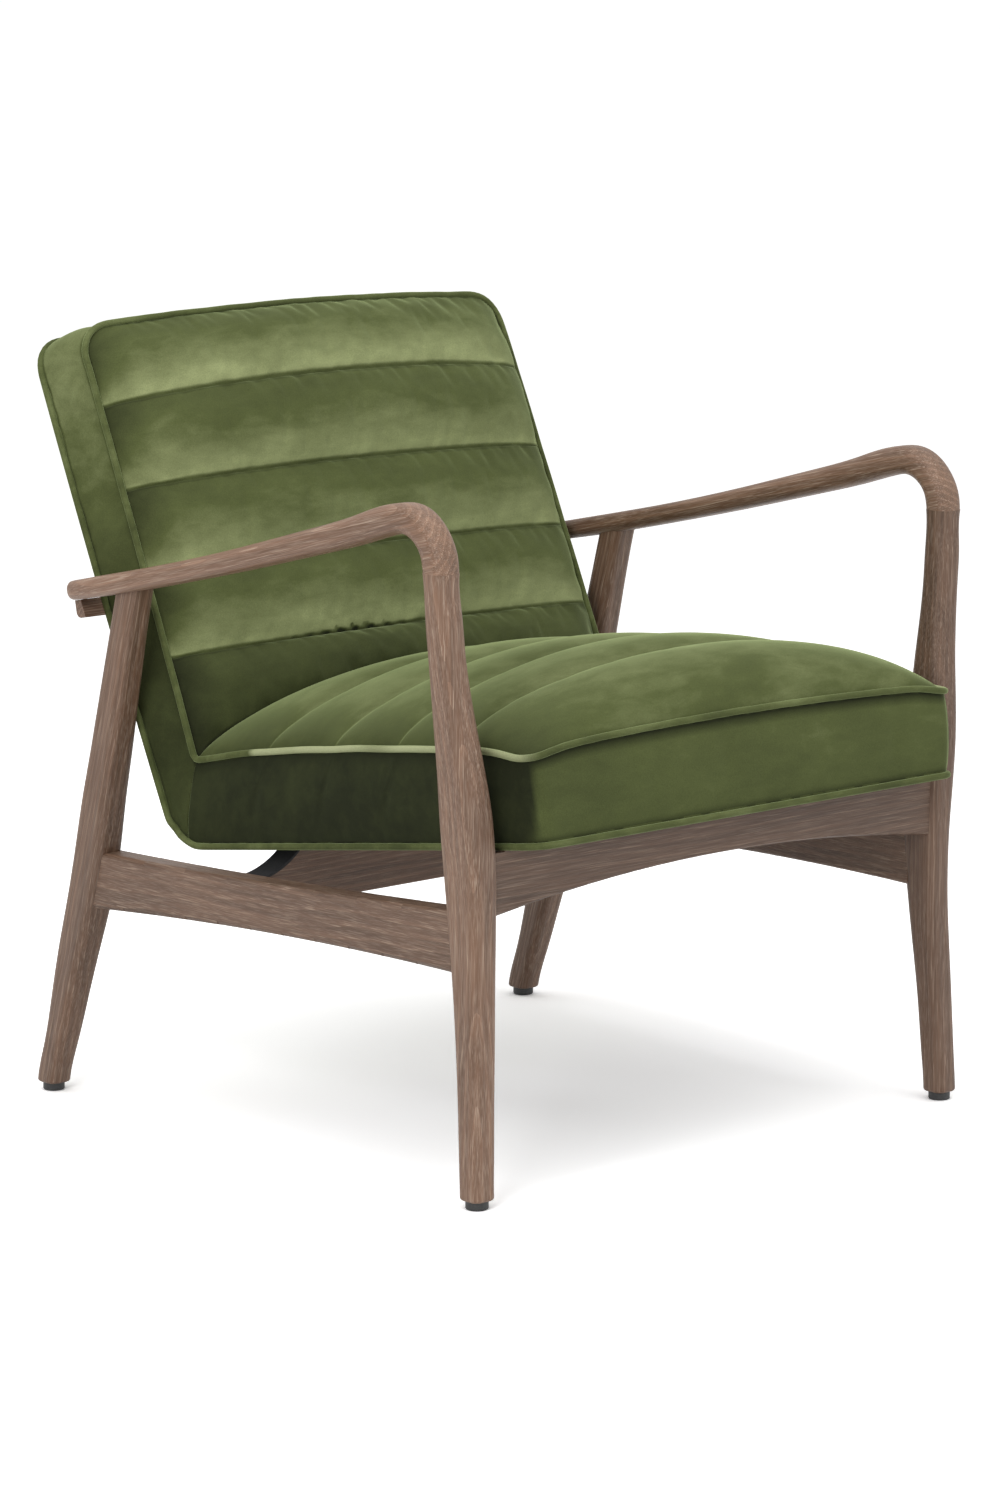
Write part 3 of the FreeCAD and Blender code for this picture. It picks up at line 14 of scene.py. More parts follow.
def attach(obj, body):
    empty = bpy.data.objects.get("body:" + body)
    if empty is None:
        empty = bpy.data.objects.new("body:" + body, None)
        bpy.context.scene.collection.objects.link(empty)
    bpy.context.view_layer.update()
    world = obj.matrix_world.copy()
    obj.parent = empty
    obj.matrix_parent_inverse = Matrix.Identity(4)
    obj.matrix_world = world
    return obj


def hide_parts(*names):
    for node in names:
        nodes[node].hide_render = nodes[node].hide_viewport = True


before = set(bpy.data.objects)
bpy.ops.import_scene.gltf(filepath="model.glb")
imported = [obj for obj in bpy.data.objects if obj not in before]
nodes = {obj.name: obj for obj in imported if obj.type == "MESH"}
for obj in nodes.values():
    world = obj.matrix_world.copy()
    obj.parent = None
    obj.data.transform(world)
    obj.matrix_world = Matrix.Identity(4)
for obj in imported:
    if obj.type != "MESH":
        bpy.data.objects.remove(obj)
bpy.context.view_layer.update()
bpy.ops.object.select_all(action="DESELECT")

# %% [markdown]
# ## Where the seat and the back lie
# The seat tips back by eight degrees and the back leans by a little over twenty-two. Points on the seat are
# easiest to give as a distance back from its front edge and a height above it, and points on the back as a
# height above the inner corner and a distance in front of it. Two small functions turn such points into the
# chair's own metres, so every soft part can be written in its own plain directions.

# %% Directions of the seat and the back
SEAT_FRONT = Vector((0.0, -0.33695, 0.411))
SEAT_TILT = math.radians(8.0)
BACK_RECLINE = math.radians(22.4)
SEAT_LENGTH = 0.469
SEAT_DEPTH = 0.080


def on_seat(x, back, up):
    y = SEAT_FRONT.y + back * math.cos(SEAT_TILT) + up * math.sin(SEAT_TILT)
    z = SEAT_FRONT.z - back * math.sin(SEAT_TILT) + up * math.cos(SEAT_TILT)
    return Vector((x, y, z))


def on_back(x, up, forward):
    corner = on_seat(x, SEAT_LENGTH, 0.0)
    y = corner.y + up * math.sin(BACK_RECLINE) - forward * math.cos(BACK_RECLINE)
    z = corner.z + up * math.cos(BACK_RECLINE) + forward * math.sin(BACK_RECLINE)
    return Vector((x, y, z))


def back_of(point):
    """The height and the forward distance of a point, in the back's own directions."""
    away = point - on_seat(point.x, SEAT_LENGTH, 0.0)
    up = away.y * math.sin(BACK_RECLINE) + away.z * math.cos(BACK_RECLINE)
    return up, away.z * math.sin(BACK_RECLINE) - away.y * math.cos(BACK_RECLINE)


print("inner corner at", [round(v, 4) for v in on_seat(0.0, SEAT_LENGTH, 0.0)])

# %% [markdown]
# ## How a stitched cushion is put together
# A cushion of this kind is a face with rows of stitching, a plain face on its far side, and four walls of
# boxing between them. Each of the six is a grid of points here, and neighbours share their border, so they
# can be welded into one closed form. The face's grid is finer across the rows than a hand-made cage would be,
# because the stitching, the swell between two rows and the small puckers at a row all live in those points.

# %% Columns across a cushion
CORNER_STEPS = 7


def columns(half_width, corner, spacing):
    """Positions across a cushion as distances in from its side: dense round the corner, even in the middle."""
    inset = [corner * (1.0 - math.cos(math.pi / 2 * k / CORNER_STEPS)) for k in range(CORNER_STEPS + 1)]
    count = max(1, round((half_width - corner) / spacing))
    inset += [corner + (half_width - corner) * k / count for k in range(1, count + 1)]
    shares = [-(half_width - step) / half_width for step in inset]
    return shares + [-share for share in reversed(shares[:-1])]


def round_over(share, half_width, corner):
    """How far a rounded corner has fallen back at this column."""
    inset = half_width * (1.0 - abs(share))
    return corner - math.sqrt(max(corner ** 2 - max(corner - inset, 0.0) ** 2, 0.0))


def dome(share):
    """1 at the middle of a cushion and 0 at both sides, as a half circle falls."""
    return math.sqrt(max(1.0 - share ** 2, 0.0))


SHOULDER = 0.62


def swell(along):
    """The section of one stuffed channel: 0 at both seams, 1 at its crest. A low SHOULDER makes it fuller."""
    return (4.0 * along * (1.0 - along)) ** SHOULDER


print("a channel is at", [round(swell(k / 8), 2) for k in range(9)], "of its full height from seam to seam")

# %% Puckers along a seam
GATHER_REACH = 0.36
GATHER_SLANT = 0.012
COARSE_GATHERS = 55.0
FINE_GATHERS = 120.0
FINE_SHARE = 0.7
PATCHES = 7.0
BROAD_WAVES = 8.0


def pucker(share, along, seed, half_width, gathered, uneven):
    """Small gathers that run away from a seam and die out towards the crest, and broad unevenness, in metres."""
    x = share * half_width
    near = max(0.0, 1.0 - min(along, 1.0 - along) / GATHER_REACH)
    slant = x + GATHER_SLANT * along
    # The seed only picks another stretch of the noise, so that no two channels are alike.
    gather = noise.noise(Vector((slant * COARSE_GATHERS, seed * 3.7, along * 1.3)))
    gather += FINE_SHARE * noise.noise(Vector((slant * FINE_GATHERS, seed * 5.1 + 9.0, along * 2.0)))
    patch = max(0.0, noise.noise(Vector((x * PATCHES, seed * 1.9, 3.0))) + 0.25)
    broad = noise.noise(Vector((x * BROAD_WAVES, seed * 2.3 + 4.0, along * 1.6)))
    return gathered * near * gather * (0.35 + patch) + uneven * swell(along) * broad


print("gathers reach", GATHER_REACH, "of a channel's width away from its seams")

# %% [markdown]
# ### From six grids to one closed form
# Each point of a grid carries four readings besides its place: how far it lies from the nearest seam, which sets
# the painted shade next to a seam; how pale the velvet is painted there, as painted sheen and painted shade;
# whether the stitching holds it while the cover is blown up; and whether it stays sharp when the form is smoothed.
# The walls are made here, between the border of the face and the border of the far side.

# %% Build a closed padded form from its faces
SEAM_CREASE = 0.75
WELD_DISTANCE = 0.00005
WALL_ROWS = 10
WALL_FULLNESS = 0.7
SIDE_BULGE = 0.004
RIPPLE = 0.25
RIPPLES = 14.0
RIPPLE_START = Vector((0.0, 0.0, 5.0))
WALL_SHADE = 0.5
UPPER_SHADE = 0.9


def lerp(a, b, share):
    return a + (b - a) * share


def cosine_step(step, steps):
    """Shares from 0 to 1 that crowd towards both ends."""
    return 0.5 - 0.5 * math.cos(math.pi * step / steps)


def far_point(at):
    """A point on the far side of a cushion: flat, away from the stitching and held where it is."""
    return {"at": at, "tuck": 1.0, "nap": 0.5, "held": 1.0}


def padded_wall(edge, far_edge, push, sheen_and_shade_at, recess_shade):
    """The boxing between two edges: bulging, slightly rippled, and shaded under the upper piping."""
    grid = []
    for step in range(WALL_ROWS + 1):
        share = cosine_step(step, WALL_ROWS)
        row = []
        for index, (near, far) in enumerate(zip(edge, far_edge)):
            at = lerp(near["at"], far["at"], share)
            bow = 4.0 * share * (1.0 - share)
            at = at + push(index) * bow ** WALL_FULLNESS
            ripple = noise.noise(Vector((at.x * RIPPLES, at.y * RIPPLES, at.z * RIPPLES)) + RIPPLE_START)
            at = at + push(index) * (RIPPLE * ripple * bow)
            # Painted shade near both rims of the boxing, deepest in the recess just under the upper piping.
            wall_shade_distance = min(share * UPPER_SHADE, 1.0 - share) * SEAT_DEPTH * WALL_SHADE - recess_shade * (share < 0.5)
            row.append({"at": at, "tuck": wall_shade_distance, "nap": sheen_and_shade_at(at), "held": float(step in (0, WALL_ROWS))})
        grid.append(row)
    return grid


# %% Weld the grids
READINGS = ("tuck", "nap", "held")


def add_grid(mesh, grid, rim_rows, rim_columns):
    """Adds one grid of points with its faces. Points on a rim stay fully sharp, and seams nearly so."""
    layers = {name: mesh.verts.layers.float[name] for name in READINGS}
    sewn = mesh.verts.layers.float["sewn"]
    made = [[mesh.verts.new(point["at"]) for point in row] for row in grid]
    for number, (row, points) in enumerate(zip(made, grid)):
        for column, (vertex, point) in enumerate(zip(row, points)):
            for name in READINGS:
                vertex[layers[name]] = point[name]
            rim = number in rim_rows or column in rim_columns
            vertex[sewn] = 1.0 if rim else SEAM_CREASE * point.get("seam", False)
    for upper, lower in zip(made, made[1:]):
        for column in range(len(upper) - 1):
            mesh.faces.new((upper[column], upper[column + 1], lower[column + 1], lower[column]))


def padded_block(name, face, under, first_out, last_out, wall_sheen_and_shade, recess_shade):
    """A closed form from a stitched face and its far side. first_out and last_out push the end walls outwards."""
    mesh = bmesh.new()
    crease = mesh.edges.layers.float.new("crease_edge")
    for reading in READINGS + ("sewn",):
        mesh.verts.layers.float.new(reading)
    across = len(face[0]) - 1
    add_grid(mesh, face, (0, len(face) - 1), (0, across))
    add_grid(mesh, under, (0, len(face) - 1), (0, across))
    for column, side in ((0, -1.0), (across, 1.0)):
        boxing = padded_wall([row[column] for row in face], [row[column] for row in under],
                             lambda index: Vector((side * SIDE_BULGE, 0.0, 0.0)),
                             lambda at: wall_sheen_and_shade("side", at), recess_shade)
        add_grid(mesh, boxing, (0, WALL_ROWS), ())
    for number, out, part in ((0, first_out, "first"), (-1, last_out, "last")):
        row = face[number]
        low, high = row[0]["at"].x, row[across]["at"].x
        shares = [(2.0 * point["at"].x - low - high) / (high - low) for point in row]
        boxing = padded_wall(row, under[number], lambda index: out(shares[index]),
                             lambda at: wall_sheen_and_shade(part, at), recess_shade)
        add_grid(mesh, boxing, (0, WALL_ROWS), ())
    bmesh.ops.remove_doubles(mesh, verts=mesh.verts, dist=WELD_DISTANCE)
    sewn = mesh.verts.layers.float["sewn"]
    for edge in mesh.edges:
        edge[crease] = min(edge.verts[0][sewn], edge.verts[1][sewn])
    bmesh.ops.recalc_face_normals(mesh, faces=mesh.faces)
    open_edges = sum(1 for edge in mesh.edges if len(edge.link_faces) != 2)
    data = bpy.data.meshes.new(name)
    mesh.to_mesh(data)
    mesh.free()
    piece = bpy.data.objects.new(name, data)
    bpy.context.scene.collection.objects.link(piece)
    data.shade_smooth()
    print(name, len(data.vertices), "points,", open_edges, "open edges")
    return piece


# %% Rows of a stitched face
GROOVE_DEPTH = 0.0012
GROOVE_WIDTH = 0.0016
FOLD_HELD = 0.0003
FOLD_SHADE = 1.9
AT_SEAM = 1e-6
AT_SIDE = 0.9999


def no_folds(channel, x, along):
    return 0.0


def stitched_rows(shares, half_width, seam, crest, per_row, at, nap, seed, gathered, uneven, seam_shade_offset=0.0,
                  folds=no_folds):
    """Rows of points from seam to seam: seam(k, share) lies on seam k, and crest(k, share) is channel k's swell.

    The offset after uneven lifts a face's painted seam shade, so its seams are painted only a little darker, and
    folds(k, x, along) is how deep a single fold is."""
    rows = []
    for channel, steps in enumerate(per_row):
        for step in range(steps + (1 if channel == len(per_row) - 1 else 0)):
            rows.append((channel, cosine_step(step, steps)))
    grid = []
    for channel, along in rows:
        nearest = min(along, 1.0 - along)
        row = []
        for share in shares:
            start = seam(channel, share)
            chord = seam(channel + 1, share) - start
            out = Vector((-chord.y, chord.x)).normalized()
            lift = crest(channel, share) * swell(along)
            lift += pucker(share, along, seed + channel, half_width, gathered[channel], uneven) * dome(share)
            groove = -GROOVE_DEPTH * math.exp(-nearest * chord.length / GROOVE_WIDTH) * dome(share)
            fold = folds(channel, share * half_width, along)
            sewn = nearest < AT_SEAM
            row.append({
                "at": at(share, start + chord * along + out * (lift + groove - fold)),
                # Painted shade: the velvet is painted darker next to a seam and in the folds.
                "tuck": nearest * chord.length + seam_shade_offset - FOLD_SHADE * fold,
                "nap": nap(channel, share, along),
                "held": float(sewn or abs(share) > AT_SIDE or fold > FOLD_HELD),
                "seam": sewn,
            })
        grid.append(row)
    return grid


print("a seam is pressed in by", 1000 * GROOVE_DEPTH, "mm")

# %% [markdown]
# ## The seat
# The seat is one thick pad, domed high in the middle, with four rows of stitching from side to side. Its
# front row rolls over towards the front edge. The rows are given by where each seam lies and how high it
# stands at the middle of the seat; at the sides every seam comes down to the piping. The lower edge of the
# boxing is a little narrower than the top at the front and wider at the rear, where it meets the back. All
# lengths are in metres.

# %% Measures of the seat
SEAT_HALF = 0.2690
SEAT_CORNER = 0.016
SEAT_SEAMS = ((0.0925, 0.0600), (0.1765, 0.0653), (0.2655, 0.0632), (0.3620, 0.0620))
SEAT_ROWS = (15, 13, 13, 13, 13)
RISE_WIDTH, RISE_ROUND = 1.88, 0.629
CREASE_PULL = 0.0165
CREASE_HEIGHT = 0.0570
SEAT_BOW = 0.005
FRONT_BOW = 0.008
EDGE_CREST = 0.0006
FRONT_CREST, FRONT_FULLNESS = 0.0240, 0.75
SEAT_CREST = 0.0105
SEAT_GATHERS = (0.0007,) * 5
SEAT_UNEVEN = 0.0014
# Lifts the seat's painted seam shade, so its seams are painted only a little darker.
SEAT_SEAM_SHADE_OFFSET = 0.0035
SEAT_SEED = 11
SEAT_SPACING = 0.0085


def seat_rise(share):
    """How high a seam of the seat stands at this column, as a share of its height at the middle."""
    return max(1.0 - abs(share) ** RISE_WIDTH, 0.0) ** RISE_ROUND


def crease_at(share):
    """Where the seat's last row of stitching meets the back."""
    return Vector((SEAT_LENGTH - CREASE_PULL * seat_rise(share), CREASE_HEIGHT * seat_rise(share)))


def seat_seam(index, share):
    """Where seam number index crosses this column, as (distance back, height)."""
    if index == 0:
        return Vector((round_over(share, SEAT_HALF, SEAT_CORNER), FRONT_BOW * (1.0 - share ** 2)))
    if index == len(SEAT_SEAMS) + 1:
        return crease_at(share)
    back, height = SEAT_SEAMS[index - 1]
    along = back / SEAT_LENGTH
    return Vector((back, height * seat_rise(share) + SEAT_BOW * 4.0 * along * (1.0 - along)))


def seat_crest(channel, share):
    full = FRONT_CREST * dome(share) ** FRONT_FULLNESS if channel == 0 else SEAT_CREST * dome(share)
    return EDGE_CREST + full


print("the seat's seams lie", [seam[0] for seam in SEAT_SEAMS], "m behind its front edge")

# %% Widths of the seat and the pull of its edges
TOP_HALVES = (0.2705, 0.2685)
LOW_HALVES = (0.2640, 0.2835)
LOW_FLARE = 1.15
CORNER_DIP, CORNER_REACH = 0.0055, 0.030
EDGE_WAVE, EDGE_POWER = 0.0012, 12.0
SAG, SAG_REACH, SAG_POWER = 0.004, 0.060, 10.0


def seat_half_top(back):
    return lerp(*TOP_HALVES, back / SEAT_LENGTH)


def seat_half_low(back):
    return lerp(*LOW_HALVES, max(0.0, min(1.0, back / SEAT_LENGTH)) ** LOW_FLARE)


def corner_dip(x, back):
    """The top edge is pulled down at both front corners and waves a little along the sides."""
    away = math.hypot(SEAT_HALF - abs(x), back)
    edge = (abs(x) / SEAT_HALF) ** EDGE_POWER
    wave = noise.noise(Vector((x * 3.0, back * 16.0, 1.0)))
    return -CORNER_DIP * math.exp(-(away / CORNER_REACH) ** 2) + EDGE_WAVE * edge * wave


def inner_corner_sag(share, away):
    """The side piping hangs a little where the seat turns into the back."""
    return Vector((0.0, 0.0, -SAG)) * (abs(share) ** SAG_POWER * math.exp(-(away / SAG_REACH) ** 2))


def seat_at(share, point):
    x = share * seat_half_top(point.x)
    return on_seat(x, point.x, point.y + corner_dip(x, point.x)) + inner_corner_sag(share, SEAT_LENGTH - point.x)


print("the seat is", 2 * seat_half_top(0.0), "m wide at its front edge")

# %% Painted sheen and shade on the seat
# Levels of the seat's painted light: a highlight on the seam line, sheen behind a seam, shade by the side piping and
# on the side boxing.
SEAT_PALE = 0.53
SEAM_LINE_HIGHLIGHT = 0.22
BEHIND_PALE, BEHIND_REACH = 0.10, 0.12
SIDE_START, SIDE_DARK = 0.78, 0.30
BOXING_DARK, BOXING_PALE = 0.04, 0.45
TURN_INSET, TURN_WIDTH = 0.002, 0.006


def seat_sheen_and_shade(channel, share, along):
    """Painted light: a highlight on the seam line, sheen just behind a seam, shade where rows meet the side piping.
    """
    side = max(0.0, (abs(share) - SIDE_START) / (1.0 - SIDE_START))
    if channel == 0:
        return SEAT_PALE - SIDE_DARK * side * (0.4 + 0.6 * (1.0 - along))
    on_seam_highlight = SEAM_LINE_HIGHLIGHT * (min(along, 1.0 - along) < AT_SEAM)
    behind = BEHIND_PALE * math.exp(-along / BEHIND_REACH)
    return SEAT_PALE + on_seam_highlight + behind - SIDE_DARK * side * (0.4 + 0.6 * (1.0 - along))


def seat_wall_sheen_and_shade(part, at):
    """Painted shade on the side boxing, and painted sheen on the front boxing."""
    turned = max(0.0, min(1.0, (SEAT_HALF - TURN_INSET - abs(at.x)) / TURN_WIDTH))
    return lerp(BOXING_DARK, BOXING_PALE, turned) if part == "first" else BOXING_DARK


print("the seat's pile reads", seat_sheen_and_shade(1, 0.0, 0.5), "and its side boxing", BOXING_DARK)

# %% Shape the seat's two faces
LOWER_CORNER = (0.4769, -0.080)
LOWER_ROUND_START = 0.4590
LOWER_ROUND_MIDDLE = (0.4741, -0.0747)
LOWER_ROUND_SWELL = 0.0012
ROUND_ROWS = 4
CLOTH_ROOM = 0.0018
seat_columns = columns(SEAT_HALF, SEAT_CORNER, SEAT_SPACING)
seat_face = stitched_rows(seat_columns, SEAT_HALF, seat_seam, seat_crest, SEAT_ROWS, seat_at, seat_sheen_and_shade, SEAT_SEED,
                          SEAT_GATHERS, SEAT_UNEVEN, SEAT_SEAM_SHADE_OFFSET)


def seat_under_row(back_share):
    """One row of the underside, lifted by CLOTH_ROOM inside its border so that the cloth under it lies clear."""
    row = []
    for share in seat_columns:
        back = lerp(round_over(share, SEAT_HALF, SEAT_CORNER), LOWER_ROUND_START, back_share)
        inside = 0.0 if abs(share) > AT_SIDE or back_share in (0.0, 1.0) else CLOTH_ROOM
        row.append(far_point(on_seat(share * seat_half_low(back), back, -SEAT_DEPTH + inside)))
    return row


flat_rows = len(seat_face) - ROUND_ROWS
seat_under = [seat_under_row(row / (flat_rows - 1)) for row in range(flat_rows)]
for turn in range(1, ROUND_ROWS + 1):
    angle = turn / ROUND_ROWS
    back = lerp(LOWER_ROUND_START, LOWER_ROUND_MIDDLE[0], angle)
    up = lerp(-SEAT_DEPTH, LOWER_ROUND_MIDDLE[1], angle) - LOWER_ROUND_SWELL * 4.0 * angle * (1.0 - angle)
    seat_under.append([far_point(on_seat(share * seat_half_low(back), back, up)) for share in seat_columns])
print("the seat's face has", len(seat_face), "rows of", len(seat_columns), "points")

# %% Close the seat
FRONT_BULGE = 0.0035
CORNER_PINCH, PINCH_AT, PINCH_WIDTH = 0.0030, 0.9, 0.12
# Extra painted shade in the recess under the seat's upper piping.
SEAT_RECESS_SHADE = 0.0020


def corner_turn(share, half_width, corner):
    """The direction in which a rounded corner faces at this column: 0 is sideways, a quarter turn is ahead."""
    inset = half_width * (1.0 - abs(share))
    return math.acos(max(0.0, min(1.0, 1.0 - inset / corner))) if inset < corner else math.pi / 2


def out_of_corner(share, turn, ahead):
    side = 1.0 if share > 0 else -1.0
    return Vector((side * math.cos(turn), 0.0, 0.0)) + ahead * math.sin(turn)


def seat_front_out(share):
    """The front boxing bulges, and is pinched where it turns the corner."""
    turn = corner_turn(share, SEAT_HALF, SEAT_CORNER)
    size = lerp(SIDE_BULGE, FRONT_BULGE, math.sin(turn))
    size -= CORNER_PINCH * math.exp(-((turn - PINCH_AT) / PINCH_WIDTH) ** 2)
    return out_of_corner(share, turn, on_seat(0.0, -1.0, 0.0) - on_seat(0.0, 0.0, 0.0)) * size


def seam_side_out(share):
    return Vector((share * SIDE_BULGE, 0.0, 0.0))


seat_cushion = padded_block("seat_cushion", seat_face, seat_under, seat_front_out, seam_side_out, seat_wall_sheen_and_shade,
                            SEAT_RECESS_SHADE)

# %% [markdown]
# ## The back
# The back is built the same way, standing up. Its face leans outwards at the lower rows and thins towards the
# top, its upper corners are rounded, and its boxing widens towards the rear edge. Just above its lowest row of
# stitching the cover was pulled tight at one place, which left a cluster of short slanted folds. They are too
# sharp for soft noise, so they are waves of their own, and their points are held while the cover is blown up.

# %% Measures of the back
BACK_HALF = 0.2665
BACK_CORNER = 0.027
BACK_HEIGHT = 0.4295
BACK_TOP_BOW = 0.0045
TOP_BULGE = 0.004
EDGE_SET_BACK = 0.014
BACK_SEAMS = ((0.098, 0.0, 0.022), (0.181, 0.0, 0.024), (0.265, 0.002, 0.028), (0.349, 0.006, 0.034))
BACK_ROWS = (13, 12, 12, 12, 13)
BACK_CREST, TOP_CREST = 0.0100, 0.012
FRONT_HALVES = (0.2700, 0.2650)
BACK_GATHERS = (0.0016, 0.0024, 0.0018, 0.0016, 0.0014)
BACK_UNEVEN = 0.0022
BACK_SEED = 31
BACK_SPACING = 0.0050


def edge_forward(up):
    """The side edges of the face lean back a little more than its middle does."""
    return -EDGE_SET_BACK * up / BACK_HEIGHT


def back_seam(index, share):
    """Where seam number index crosses this column, as (height, distance forward)."""
    rise = dome(share)
    crown = 1.0 - share ** 2
    if index == 0:
        return Vector(back_of(on_seat(0.0, *crease_at(share))))
    if index == len(BACK_SEAMS) + 1:
        up = BACK_HEIGHT + BACK_TOP_BOW * crown - round_over(share, BACK_HALF, BACK_CORNER)
        return Vector((up, edge_forward(BACK_HEIGHT) * (1.0 - crown) + TOP_BULGE * crown))
    up, bow, bulge = BACK_SEAMS[index - 1]
    return Vector((up + bow * crown, edge_forward(up) * (1.0 - rise) + bulge * rise))


def back_crest(channel, share):
    return EDGE_CREST + (TOP_CREST if channel == len(BACK_SEAMS) else BACK_CREST) * dome(share)


def back_at(share, point):
    half = lerp(*FRONT_HALVES, max(0.0, min(1.0, point.x / BACK_HEIGHT)))
    return on_back(share * half, point.x, point.y) + inner_corner_sag(share, max(0.0, point.x))


print("the back's seams lie", [seam[0] for seam in BACK_SEAMS], "m above the inner corner")

# %% Painted sheen and shade on the back, and its folds
# Levels of the back's painted sheen and painted shade, on its face and its boxing.
BACK_DARK, LOWEST_PALE = 0.28, 0.30
ABOVE_PALE, ABOVE_REACH = 0.80, 0.50
EDGE_START, EDGE_DARK = 0.86, 0.25
BACK_BOXING = (0.20, 0.62)
BOXING_FROM, BOXING_RISE = 0.32, 1.8
FOLDED_CHANNEL = 1
FOLDS_AT, FOLDS_REACH = -0.058, 0.050
FOLD_LENGTH, FOLD_DEPTH = 0.20, 0.0036
FOLD_SLANT, FOLDS_PER_METRE = 0.110, 330.0


def back_sheen_and_shade(channel, share, along):
    """Painted sheen above each seam, painted shade below the next; the lowest row is painted dark all over."""
    pale = LOWEST_PALE if channel == 0 else BACK_DARK + ABOVE_PALE * math.exp(-along / ABOVE_REACH)
    return pale - EDGE_DARK * max(0.0, (abs(share) - EDGE_START) / (1.0 - EDGE_START))


def back_wall_sheen_and_shade(part, at):
    """The back's boxing gets painted shade near the seat, growing into painted sheen upwards."""
    return max(BACK_BOXING[0], min(BACK_BOXING[1], (at.z - BOXING_FROM) * BOXING_RISE))


def back_folds(channel, x, along):
    """A cluster of short slanted folds just above the lowest row of stitching, where the cover was pulled tight."""
    if channel != FOLDED_CHANNEL:
        return 0.0
    cluster = math.exp(-((x - FOLDS_AT) / FOLDS_REACH) ** 2) * math.exp(-(along / FOLD_LENGTH) ** 2)
    uneven = 1.6 * noise.noise(Vector((x * 30.0, 2.0, 7.0)))
    wave = math.sin((x + FOLD_SLANT * along) * FOLDS_PER_METRE + uneven)
    return FOLD_DEPTH * cluster * max(0.0, wave) ** 1.5


print("the back's pile reads", round(back_sheen_and_shade(1, 0.0, 0.0), 2), "above a seam and", round(back_sheen_and_shade(1, 0.0, 1.0), 2),
      "below the next")

# %% Shape the back's two faces
REAR_HALF_LOW = 0.2846
REAR_HALF_TOP = 0.2853
REAR_BOW = 0.0018
REAR_LOW = -0.0415
REAR_SLOPE = -0.0165 / 0.426
REAR_RISE = 0.001
ROUND_END = (0.0086, 0.0157)
ROUND_OUT = Vector((-0.6, -0.8)) * 0.0028
back_columns = columns(BACK_HALF, BACK_CORNER, BACK_SPACING)
back_face = stitched_rows(back_columns, BACK_HALF, back_seam, back_crest, BACK_ROWS, back_at, back_sheen_and_shade, BACK_SEED,
                          BACK_GATHERS, BACK_UNEVEN, folds=back_folds)
mitre_low = Vector(back_of(on_seat(0.0, *LOWER_ROUND_MIDDLE)))
round_end = Vector(back_of(on_seat(0.0, LOWER_CORNER[0] + ROUND_END[0], LOWER_CORNER[1] + ROUND_END[1])))


def back_under_point(row, share):
    """The far side first rounds the lower corner, and then climbs as a flat panel."""
    if row <= ROUND_ROWS:
        turn = row / ROUND_ROWS
        flat = lerp(mitre_low, round_end, turn) + ROUND_OUT * 4.0 * turn * (1.0 - turn)
        half = lerp(seat_half_low(LOWER_ROUND_MIDDLE[0]), REAR_HALF_LOW, turn)
    else:
        top = BACK_HEIGHT + REAR_RISE + BACK_TOP_BOW * (1.0 - share ** 2) - round_over(share, BACK_HALF, BACK_CORNER)
        climb = (row - ROUND_ROWS) / (len(back_face) - 1 - ROUND_ROWS)
        up = lerp(round_end.x, top, climb)
        flat = Vector((up, REAR_LOW + REAR_SLOPE * up))
        half = lerp(REAR_HALF_LOW, REAR_HALF_TOP, climb) + REAR_BOW * 4.0 * climb * (1.0 - climb)
    return far_point(on_back(share * half, flat.x, flat.y))


back_under = [[back_under_point(row, share) for share in back_columns] for row in range(len(back_face))]
print("the back's face has", len(back_face), "rows of", len(back_columns), "points")

# %% Close the back
BACK_TOP_OUT = 0.0045
BACK_RECESS_SHADE = 0.0


def back_top_out(share):
    turn = corner_turn(share, BACK_HALF, BACK_CORNER)
    upwards = on_back(0.0, 1.0, 0.0) - on_back(0.0, 0.0, 0.0)
    return out_of_corner(share, turn, upwards) * lerp(SIDE_BULGE, BACK_TOP_OUT, math.sin(turn))


back_cushion = padded_block("back_cushion", back_face, back_under, seam_side_out, back_top_out, back_wall_sheen_and_shade,
                            BACK_RECESS_SHADE)

# %% [markdown]
# ## Let the cloth settle
# A real cover is cut a little too large and filled until it is tight, so between two rows of stitching the
# cloth finds its own small folds. A short cloth simulation does the same: the stitching and the edges are
# held, the inside pushes outwards, and the sheet is a little longer than its form. No point may move more
# than a few millimetres, and the result is written into the mesh.

# %% Blow the covers up a little
SETTLE_FRAMES = 20
COVER = {"quality": 5, "mass": 0.3, "tension_stiffness": 15.0, "compression_stiffness": 15.0, "shear_stiffness": 5.0,
         "bending_stiffness": 0.3, "use_pressure": True, "uniform_pressure_force": 4.0}


